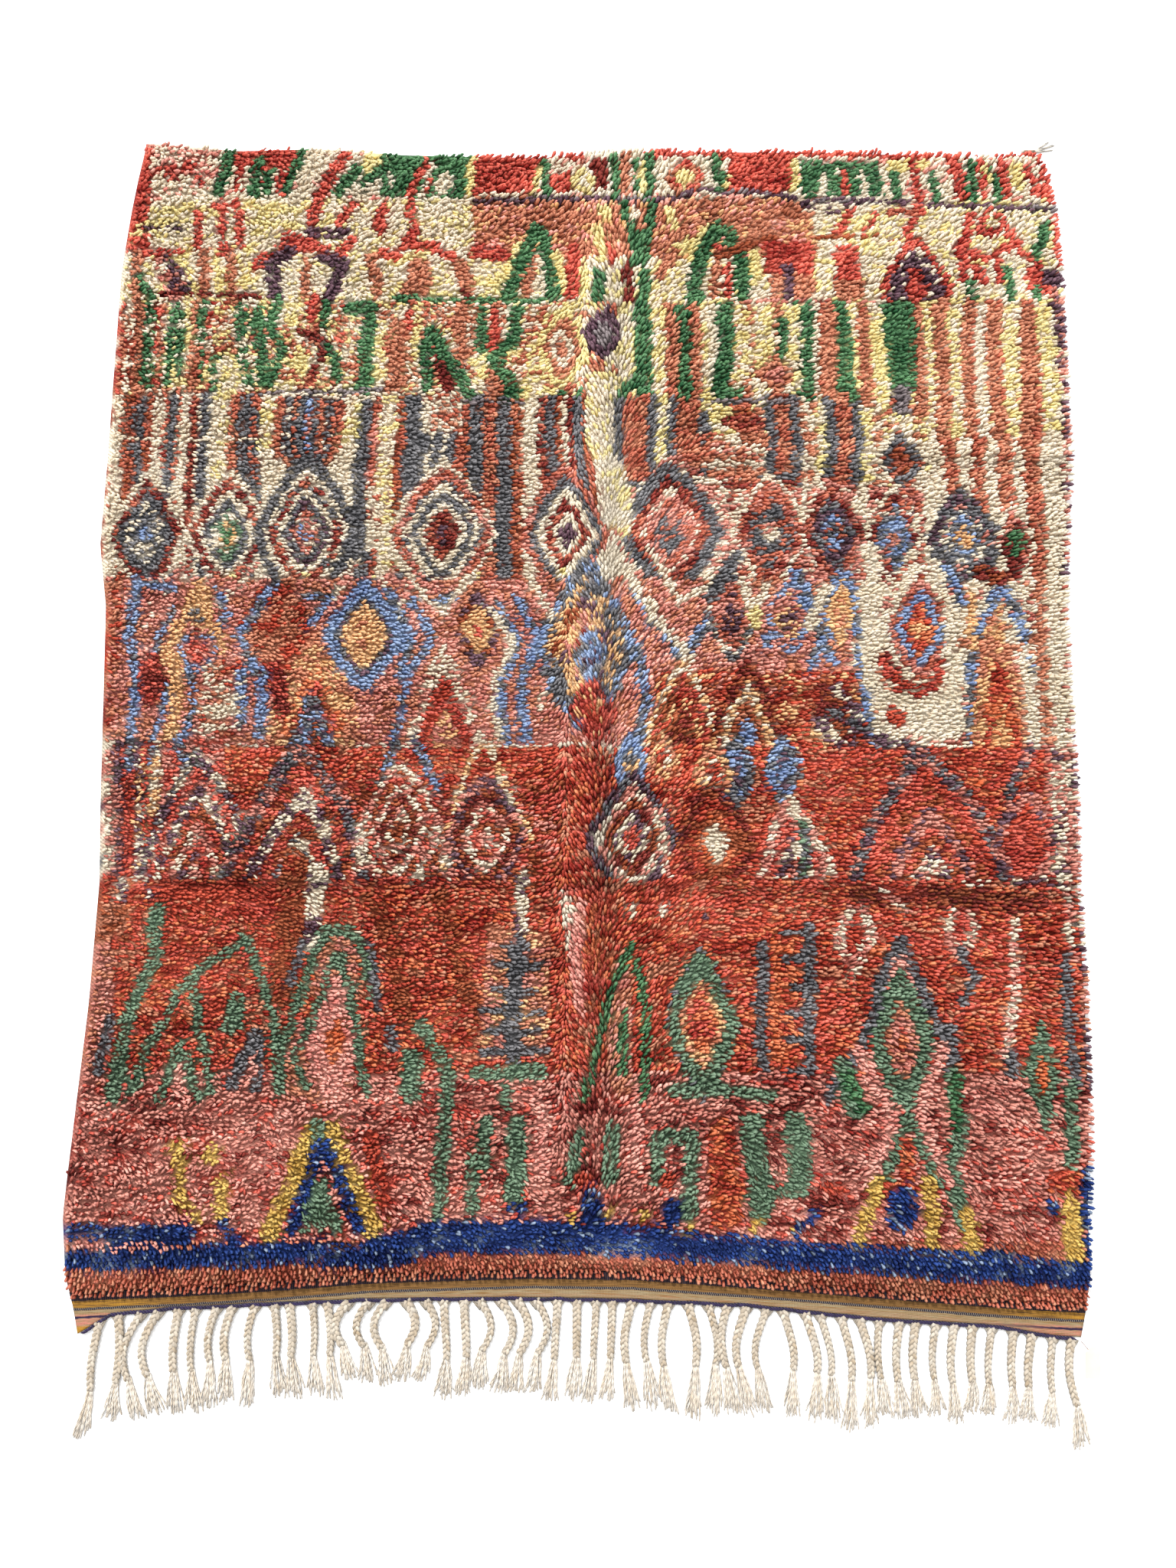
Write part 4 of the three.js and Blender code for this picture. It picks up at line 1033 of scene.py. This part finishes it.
def buildPile():
    model = modelStrand(pile["sides"], pile["levels"])
    wool = woolFinish()
    pieces = []
    bounds = np.linspace(0, pile["rows"], len(pile["pieces"]) + 1).astype(int)
    levels = np.asarray(pile["levels"])
    for name, first, last in zip(pile["pieces"], bounds, bounds[1:]):
        row, knot = np.mgrid[first:last, 0:pile["knots"]]
        row, knot = row.ravel().astype(float), knot.ravel().astype(float)
        count = len(row)
        across = (knot + 0.5 + 0.5 * (row % 2 - 0.5) + 0.2 * draw.standard_normal(count))
        up = (row + 0.5 + 0.16 * draw.standard_normal(count)) / pile["rows"]
        across = np.clip(across / pile["knots"], 0.002, 0.998)
        x, y = rugPlace(across, np.clip(up, 0.002, 0.998), pile["edgeInset"], pile["footInset"])
        left, right = x - edgeAt("left", y), edgeAt("right", y) - x
        top, foot = lineAt("top", x) - y, y - lineAt("foot", x)
        leanX, leanY, reach = napAt(x, y)
        # locks at the rims turn outwards and lie lower
        leanX += 0.8 * (smooth(1 - right / pile["rimWidth"]) - smooth(1 - left / pile["rimWidth"]))
        leanY += 0.3 * smooth(1 - top / pile["rimWidth"]) - 0.8 * smooth(1 - foot / pile["rimWidth"])
        size = np.maximum(np.hypot(leanX, leanY), 0.2)
        leanX, leanY = leanX / size, leanY / size
        rim = np.minimum(np.minimum(left, right), np.minimum(top, foot)) / pile["rimWidth"]
        height = mix(pile["rimHeight"], pileAt(x, y), smooth(rim * 0.7 + 0.35))
        height = (height - pile["rootHeight"]) * (1 + 0.10 * draw.standard_normal(count))
        reach = reach * (1 + 0.16 * draw.standard_normal(count))
        most = mix(pile["rimReach"], pile["innerReach"], smooth(rim))
        reach = np.minimum(reach, most * (0.8 + 0.4 * draw.random(count)))
        out = reach[:, None] * levels ** 1.45
        rise = height[:, None] * (1 - (1 - levels) ** 2.3) * (1 - 0.10 * levels ** 4)
        paths = np.stack([
            x[:, None] + leanX[:, None] * out,
            y[:, None] + leanY[:, None] * out,
            pile["rootHeight"] + rise,
        ], axis=-1)
        fullness = np.interp(y, nap["y"], nap["fullness"])
        fullness = (fullness * (1 + 0.14 * draw.standard_normal(count)))[:, None]
        part = copyStrands(model, paths, np.array(pile["width"]) * fullness,
                           np.array(pile["thickness"]) * fullness)
        seenX, seenY = (x + leanX * reach * 0.55) / 10, (y + leanY * reach * 0.55) / 10
        colours = np.repeat(dyeAndShadeAt(seenX, seenY), part["size"], axis=0)
        pieces.append(meshPiece(name, [part], wool, colours))
        print(name, count, "locks")
    return pieces


# The flat-woven end between the foot of the pile and the hem.
flatEnd = {
    "columns": 330, "rows": 14, "thickness": 2.0, "lift": 0.3, "tuckUnderPile": 10, "hemGap": 2.4,
    "sideInset": 2, "cornerStart": 380, "cornerWidth": 420,
    "gold": (138, 100, 54), "ochre": (176, 128, 44), "olive": (104, 74, 40), "navy": (26, 22, 44),
    "white": (168, 156, 132), "khaki": (156, 138, 106), "rose": (196, 126, 108), "plum": (48, 34, 62),
}


def flatEndFinish():
    board = Board("flatWovenBands")
    along, across, swerve = board.split(board.attribute("bandPlace"))
    cloud = board.noise(board.join(along * 0.02, across * 0.2, swerve), 4.0, 3.0)
    thread = board.noise(board.join(along * 0.05, across * 1.6, 7.0), 3.0, 2.0)
    ink = {name: inkOf(flatEnd[name]) for name in flatEnd if isinstance(flatEnd[name], tuple)}
    drift = across + (cloud - 0.5) * 3.0
    outer = swerve.above(0.55, 0.4)
    streaks = board.noise(board.join(along * 0.01, across * 0.5, 11.0), 2.0, 3.0)
    # from the pile down: a dotted line, gold, a twill line and khaki, with more bands at the corners
    dots = (along * 1.9).wave().above(0.1, 0.4)
    gold = board.blend(outer, ink["gold"], ink["ochre"])
    gold = board.blend(streaks.above(0.42, 0.16), gold, ink["olive"])
    top = board.blend(dots * 0.45, ink["navy"], ink["olive"])
    band = board.blend(drift.above(3.2, 0.8), top, gold)
    khaki = board.blend(streaks.above(0.45, 0.2), ink["khaki"], ink["gold"])
    band = board.blend(drift.above(17.5, 1.0), band, khaki)
    twill = (along * 2.1 + across * 0.8).wave().above(0.5, 0.35)
    line = drift.above(13.5, 0.6) - drift.above(17.5, 0.6)
    band = board.blend(line, band, board.blend(twill * 0.8, ink["navy"], ink["white"]))
    blush = board.noise(board.join(along * 0.012, across * 0.3, 4.0), 3.0).above(0.40, 0.2)
    band = board.blend(drift.above(22.0, 3.0) * blush * (outer * 0.8 + 0.2), band, ink["rose"])
    hemLine = drift.above(26.0, 0.6) - drift.above(29.5, 0.6)
    band = board.blend(hemLine * outer, band, ink["plum"])
    band = board.blend(drift.above(40.0, 3.0) * outer, band, ink["ochre"])
    weave = (across * 4.2).wave() * (along * 2.6).wave()
    rib = (across * 4.2).wave() * 0.5 + weave * 0.5
    shade = rib * 0.12 + cloud * 0.4 + thread * 0.5 + 0.38
    constants = {"Roughness": 0.85, "Specular IOR Level": 0.2}
    return board.finish(board.shaded(band, shade), rib, 0.0004, constants)


def bandPlace(x, up):
    low, high = lineAt("hem", x) + flatEnd["hemGap"], lineAt("foot", x) + flatEnd["tuckUnderPile"]
    return mix(low, high, up)


def buildFlatEnd():
    strip, across, up = addGrid("flatWovenEnd", flatEnd["columns"], flatEnd["rows"])
    half = outline["fieldHalfWidth"]
    x = mix(-half, half, across)
    # the place up the band shifts x between the slanting edges, so both are worked out in turn
    for _ in range(2):
        y = bandPlace(x, up)
        x = mix(edgeAt("left", y) + flatEnd["sideInset"], edgeAt("right", y) - flatEnd["sideInset"], across)
    y = bandPlace(x, up)
    below = lineAt("foot", x) - y
    z = flatEnd["lift"] + 0.5 * (1 + swellAt(x / 45, y / 30, 7)) * smooth(below / 20)
    placeCorners(strip, np.stack([x, y, z], axis=-1))
    corner = smooth((np.abs(x) - flatEnd["cornerStart"]) / flatEnd["cornerWidth"])
    place = np.stack([x, below, corner], axis=-1)
    strip.data.attributes.new("bandPlace", "FLOAT_VECTOR", "POINT").data.foreach_set(
        "vector", place.ravel())
    thicken(strip, flatEnd["thickness"])
    bpy.ops.object.shade_smooth()
    dropFlatMaps(strip)
    strip.data.materials.append(flatEndFinish())
    print("flat-woven end made")
    return strip


def cottonFinish(name, pale, warm, twist):
    board = Board(name)
    along, around, seed = board.split(board.attribute("strandPlace"))
    ply = (along * twist["turns"] + around * (2 * math.pi * twist["plies"])).wave()
    cloud = board.noise(board.join(along * 3.0, around, seed * 43), 3.0)
    stain = board.noise(board.join(seed * 19, along * 1.2, 0.0), 2.0)
    colour = board.blend(stain.above(0.35, 0.35), inkOf(pale), inkOf(warm))
    x, y, z = board.split(board.add("ShaderNodeTexCoord", output="Object"))
    # what lies under other strands is in their shade
    under = z.above(twist["low"] * mm, twist["deep"] * mm) * 0.45 + 0.55
    colour = board.shaded(colour, (ply * 0.08 + cloud * 0.3 + 0.84) * under)
    constants = {"Roughness": 0.86, "Sheen Weight": 0.2, "Specular IOR Level": 0.2}
    return board.finish(colour, ply, 0.0005, constants)


# Twined edge cord: slanting stitches of dark wool that overlap along the hem.
cord = {"ends": 4, "pitch": 5.0, "stitch": 12, "slant": 2.2, "thick": 1.9, "height": 3.2,
        "dark": (24, 17, 44), "light": (48, 36, 76)}


def buildCord():
    model = modelStrand(6, (0.0, 0.12, 0.4, 0.6, 0.88, 1.0))
    start = edgeAt("left", lineAt("hem", -outline["fieldHalfWidth"])) + cord["ends"]
    end = edgeAt("right", lineAt("hem", outline["fieldHalfWidth"])) - cord["ends"]
    x = np.arange(start + cord["stitch"] / 2, end - cord["stitch"] / 2, cord["pitch"])
    levels = model["levels"]
    along = (levels - 0.5) * cord["stitch"]
    pathX = x[:, None] + along
    slant = -np.sin((levels - 0.5) * math.pi) * cord["slant"]
    pathY = lineAt("hem", pathX) + slant + 1.3 * swellAt(pathX / 24, 0, 3)
    pathZ = cord["height"] - 1.1 * np.cos(levels * 2 * math.pi) + 0 * pathX
    paths = np.stack([pathX, pathY, pathZ], axis=-1)
    body = np.array((0, 0.75, 1, 1, 0.75, 0)) * cord["thick"] * np.ones((len(x), 1))
    part = copyStrands(model, paths, body, body)
    twist = {"turns": 9, "plies": 1, "low": 1.5, "deep": 3.0}
    twine = cottonFinish("darkTwine", cord["dark"], cord["light"], twist)
    return meshPiece("edgeCord", [part], twine)


# Braided warp ends: each entry is a run of neighbours that lie alike, with their number, the bow and
# lean of the plait, the lean of the tassel, and the two lengths.
fringe = {
    "count": 52,
    "firstX": -764,
    "lastX": 755,
    "plaitClear": 16,
    "tasselClear": 25,
    "runs": (
        (1, -4, -9, -13, 102, 72), (1, 4, 3, -5, 100, 60), (2, -16, -14, 16, 98, 60),
        (2, -4, -6, 4, 94, 70), (3, -7, -8, -2, 82, 70), (4, 3, 4, 8, 82, 66),
        (3, -16, -8, 6, 68, 56), (2, 14, 2, -10, 70, 56), (2, 0, 4, -4, 88, 60),
        (4, 16, 6, -8, 80, 60), (4, 0, -3, -7, 88, 68), (3, -6, -8, 10, 92, 74),
        (2, 6, 8, -4, 92, 82), (3, -8, -15, 10, 90, 74), (5, 5, 14, -2, 92, 76),
        (5, -4, -7, 4, 86, 62), (2, -3, -6, -10, 81, 52), (3, -3, -6, -5, 82, 56),
        (1, -8, 4, 3, 100, 71),
    ),
    "strandRadius": 3.3,
    "strandFlat": 0.76,
    "plaitRings": 42,
    "plaitHalfWidth": 4.3,
    "plaitRise": 1.7,
    "period": 24,
    "gatherHalf": 9.5,
    "gatherYarns": 7,
    "yarns": 18,
    "yarnRadius": 1.15,
    "yarnBody": (0, 1, 1, 1.02, 1.05, 1.08, 1, 0),
    "tasselHalf": 13.5,
    "pale": (188, 179, 165),
    "warm": (158, 141, 118),
    "loosePale": (220, 213, 203),
    "looseWarm": (194, 177, 154),
}


def fringeRoutes():
    routes = []
    runs = [run for run in fringe["runs"] for _ in range(run[0])]
    for i, (_, bow, lean, flare, plait, tassel) in enumerate(runs):
        share = (i + 0.25 * (chance(i, 7) - 0.5)) / (fringe["count"] - 1)
        rootX = mix(fringe["firstX"], fringe["lastX"], share)
        plaitX = rootX + lean + 5 * (chance(i, 11) - 0.5)
        if routes:
            plaitX = max(plaitX, routes[-1]["plaitX"] + fringe["plaitClear"])
        tipX = plaitX + flare
        if routes:
            tipX = max(tipX, routes[-1]["tipX"] + fringe["tasselClear"])
        rootY = lineAt("hem", rootX)
        plaitY = rootY - plait - 7 * (chance(i, 13) - 0.5)
        tipY = plaitY - tassel - 7 * (chance(i, 19) - 0.5)
        routes.append({"rootX": rootX, "rootY": rootY, "bow": bow, "plaitX": plaitX,
                       "plaitY": plaitY, "tipX": tipX, "tipY": tipY})
    return routes


def plaitLine(route, share):
    swing = np.sin(math.pi * share) * route["bow"]
    x = mix(route["rootX"], route["plaitX"], smooth(share)) + swing
    return x, mix(route["rootY"] - 0.5, route["plaitY"], share)


def buildBraids(routes):
    rings = np.linspace(0.01, 0.99, fringe["plaitRings"])
    model = modelStrand(6, tuple(np.concatenate([[0], rings, [1]])))
    levels = model["levels"]
    paths, wide, high = [], [], []
    for number, route in enumerate(routes):
        x, y = plaitLine(route, levels)
        aheadX, aheadY = np.gradient(x), np.gradient(y)
        size = np.hypot(aheadX, aheadY)
        length = abs(route["plaitY"] - route["rootY"])
        slim = 1 - 0.16 * levels + 0.08 * math.sin(number * 2.1)
        for strand in range(3):
            turn = 2 * math.pi * (levels * length / fringe["period"] + strand / 3 + chance(number, 3))
            across = np.sin(turn) * fringe["plaitHalfWidth"] * slim
            over = np.sin(2 * turn) * fringe["plaitRise"]
            z = fringe["strandRadius"] * fringe["strandFlat"] + fringe["plaitRise"] + 0.15 + over
            paths.append(np.stack([x - aheadY / size * across, y + aheadX / size * across, z], axis=-1))
            body = fringe["strandRadius"] * slim * np.where(model["levels"] % 1 == 0, 0, 1)
            wide.append(body)
            high.append(body * fringe["strandFlat"])
    return copyStrands(model, np.array(paths), np.array(wide), np.array(high))


def buildGathers(routes):
    model = modelStrand(5, (0.0, 0.06, 0.5, 0.94, 1.0))
    levels = model["levels"]
    paths, wide = [], []
    for route in routes:
        spread = fringe["gatherHalf"]
        for k in range(fringe["gatherYarns"]):
            side = k / (fringe["gatherYarns"] - 1) * 2 - 1
            x = route["rootX"] + side * spread * (1 - smooth(levels)) + 1.2 * side
            y = mix(lineAt("hem", x) - 1.5, route["rootY"] - 17 + 3 * abs(side), levels)
            z = 2.2 + 2.6 * np.sin(levels * math.pi) * (1 - abs(side) * 0.4)
            paths.append(np.stack([x, y, z], axis=-1))
            wide.append(np.array((0, 1.3, 1.8, 1.4, 0)))
        for k in (-1, 1):
            x = route["rootX"] + k * mix(-7.5, 7.5, levels)
            y = lineAt("hem", x) - 3.4 - 1.8 * np.sin(levels * math.pi)
            z = 3.0 + 2.6 * np.sin(levels * math.pi) + 0.3 * k
            paths.append(np.stack([x, y, z], axis=-1))
            wide.append(np.array((0, 1.3, 1.6, 1.3, 0)))
    wide = np.array(wide)
    return copyStrands(model, np.array(paths), wide, wide)


def buildTassels(routes):
    model = modelStrand(5, (0.0, 0.03, 0.2, 0.4, 0.6, 0.8, 0.985, 1.0))
    levels = model["levels"]
    paths, wide = [], []
    for number, route in enumerate(routes):
        count = fringe["yarns"]
        for k in range(count):
            side = (k + 0.5) / count * 2 - 1 + 0.12 * (chance(number, 5 * k) - 0.5)
            layer = chance(number * 31 + k, 4)
            stretch = 1 - 0.24 * chance(number * 17, k) - 0.05 * side**2
            startX = route["plaitX"] + side * 3.4
            endX = route["tipX"] + side * fringe["tasselHalf"] * (0.8 + 0.5 * chance(number, k))
            startY = route["plaitY"] + 7
            endY = mix(startY, route["tipY"], stretch)
            sway = 5.0 * (chance(number * 7 + k, 9) - 0.5)
            curl = np.sin(levels * math.pi * 2.1 + 6 * chance(k, number)) * 1.7 * levels
            x = mix(startX, endX, levels ** 1.25) + sway * np.sin(levels * math.pi) + curl
            y = mix(startY, endY, levels)
            z = 1.05 + 3.4 * layer * (1 - levels) ** 0.8 + 0.9 * layer * levels
            paths.append(np.stack([x, y, z + 0 * x], axis=-1))
            wide.append(np.array(fringe["yarnBody"]) * fringe["yarnRadius"])
    wide = np.array(wide)
    return copyStrands(model, np.array(paths), wide, wide)


# Wrapped bundle of warp ends at the top right corner, with its loose ends.
tuft = {"x": 786, "y": 1000, "length": 20, "wraps": 8, "radius": 3.2,
        "coreStrands": 7, "endYarns": 6, "ends": ((44, 6), (49, 15), (37, 21)),
        "wrapPale": (176, 160, 138), "wrapDark": (120, 104, 88),
        "endPale": (236, 230, 218), "endWarm": (222, 210, 190)}


def buildTuft():
    ring = modelStrand(5, (0.0, 0.1, 0.3, 0.5, 0.7, 0.9, 1.0))
    levels = ring["levels"]
    paths = []
    for k in range(tuft["wraps"]):
        turn = math.pi * (levels * 1.1 - 0.05)
        x = tuft["x"] + (k + 0.5) / tuft["wraps"] * tuft["length"] + 1.6 * (levels - 0.5)
        y = tuft["y"] + 1 - np.cos(turn) * tuft["radius"]
        z = 1.6 + np.sin(turn) * (tuft["radius"] + 0.8)
        paths.append(np.stack([x, y, z], axis=-1))
    body = np.array((0, 1.2, 1.5, 1.6, 1.5, 1.2, 0)) * np.ones((len(paths), 1))
    wraps = copyStrands(ring, np.array(paths), body, body)
    paths = []
    for k in range(tuft["coreStrands"]):
        x = tuft["x"] - 4 + levels * (tuft["length"] + 6)
        turn = 2 * math.pi * k / tuft["coreStrands"]
        y = tuft["y"] + 1 + math.cos(turn) * 1.9 + 0 * levels
        z = 2.6 + math.sin(turn) * 1.5 + 0 * levels
        paths.append(np.stack([x, y, z], axis=-1))
    body = np.array((0, 1, 1, 1, 1, 1, 0)) * np.ones((len(paths), 1))
    core = copyStrands(ring, np.array(paths), body, body)
    paths = []
    startX, startY = tuft["x"] + tuft["length"] - 3, tuft["y"] + 1.5
    for number, (reachX, reachY) in enumerate(tuft["ends"]):
        for k in range(tuft["endYarns"]):
            stray = 2.4 * (chance(number * 9, k) - 0.5) * levels
            x = mix(startX, startX + (reachX - 4) * (1 - 0.15 * chance(k, number)), levels)
            y = mix(startY + 0.4 * (k - 2.5), startY + reachY, levels) + stray
            z = mix(3.4, 1.0, smooth(levels * 2)) + 0.5 * chance(k, number + 7)
            paths.append(np.stack([x, y, z + 0 * x], axis=-1))
    body = np.array((0, 0.6, 0.6, 0.6, 0.6, 0.6, 0)) * np.ones((len(paths), 1))
    ends = copyStrands(ring, np.array(paths), body, body)
    twist = {"turns": 14, "plies": 2, "low": 0.5, "deep": 3.0}
    wrapFinish = cottonFinish("wrapYarn", tuft["wrapPale"], tuft["wrapDark"], twist)
    endFinish = cottonFinish("warpCotton", tuft["endPale"], tuft["endWarm"], twist)
    return (meshPiece("cornerTuftWrap", [wraps], wrapFinish),
            meshPiece("cornerTuftEnds", [core, ends], endFinish))


# Blank tape tag at the lower right corner, held by a thread.
tag = {"x": 779, "y": -1041, "width": 24, "length": 46, "thickness": 0.8, "turnRadians": -0.07,
       "columns": 12, "rows": 22, "cut": 8, "curl": 1.6, "colour": (222, 211, 194),
       "threadRadius": 0.45, "threadLight": (150, 96, 70), "threadDark": (120, 70, 52)}


def tapeFinish():
    board = Board("wovenTape")
    x, y, z = board.split(board.add("ShaderNodeTexCoord", output="Object"))
    weave = (x * 7800).wave() * (y * 7800).wave()
    cloud = board.noise(board.join(x, y, z), 60.0)
    colour = board.shaded(inkOf(tag["colour"]), weave * 0.03 + cloud * 0.12 + 0.9)
    return board.finish(colour, weave, 0.0001, {"Roughness": 0.6})


def buildTag():
    sheet, across, along = addGrid("cornerTag", tag["columns"], tag["rows"])
    # rounded corners, and one cut off where the thread holds it
    across = mix(0.5, across, 1 - 0.06 * smooth(np.abs(along - 0.5) * 8 - 3.2))
    localX, localY = across * tag["width"], -(1 - along) * tag["length"]
    cut = np.clip(tag["cut"] - localX + localY, 0, tag["cut"])
    localX, localY = localX + cut * 0.5, localY - cut * 0.5
    turn = tag["turnRadians"]
    x = tag["x"] + localX * math.cos(turn) - localY * math.sin(turn)
    y = tag["y"] + localX * math.sin(turn) + localY * math.cos(turn)
    z = 0.3 + tag["curl"] * (across - 0.5) ** 2 * 4 * (0.5 + 0.5 * along)
    placeCorners(sheet, np.stack([x, y, z], axis=-1))
    thicken(sheet, tag["thickness"])
    bpy.ops.object.shade_smooth_by_angle(angle=math.radians(40))
    dropFlatMaps(sheet)
    sheet.data.materials.append(tapeFinish())
    line = modelStrand(5, (0.0, 0.1, 0.35, 0.65, 0.9, 1.0))
    levels = line["levels"]
    x = mix(tag["x"] + 5, tag["x"] - 7, levels)
    y = mix(tag["y"] - 5, tag["y"] + 9, levels)
    z = 1.2 + 1.4 * np.sin(levels * math.pi)
    body = np.array([(0, 1, 1, 1, 1, 0)]) * tag["threadRadius"]
    part = copyStrands(line, np.stack([x, y, z], axis=-1)[None], body, body)
    twist = {"turns": 20, "plies": 2, "low": 0, "deep": 1.0}
    threadCotton = cottonFinish("tagThreadCotton", tag["threadLight"], tag["threadDark"], twist)
    thread = meshPiece("tagThread", [part], threadCotton)
    return sheet, thread


def buildFringe():
    routes = fringeRoutes()
    twist = {"turns": 60, "plies": 2, "low": 2.5, "deep": 4.5}
    plaitCotton = cottonFinish("braidedCotton", fringe["pale"], fringe["warm"], twist)
    twist = {"turns": 40, "plies": 2, "low": 0.6, "deep": 3.0}
    looseCotton = cottonFinish("looseCotton", fringe["loosePale"], fringe["looseWarm"], twist)
    braids = meshPiece("braids", [buildBraids(routes)], plaitCotton)
    gathers = meshPiece("braidKnots", [buildGathers(routes)], plaitCotton)
    tassels = meshPiece("tassels", [buildTassels(routes)], looseCotton)
    print("fringe made", [len(piece.data.polygons) for piece in (braids, gathers, tassels)])
    return [braids, gathers, tassels]


buildStudio()
rugCloth = buildCloth()
pilePieces = buildPile()
flatWovenEnd = buildFlatEnd()
edgeCord = buildCord()
fringePieces = buildFringe()
tuftPieces = buildTuft()
tagPieces = buildTag()
onRug = [flatWovenEnd, edgeCord, *pilePieces, *fringePieces, *tuftPieces, *tagPieces]
for piece in [rugCloth, *onRug]:
    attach(piece, "root")
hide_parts("rug")
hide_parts("fringe")
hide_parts("corner_tuft")
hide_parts("corner_tag")
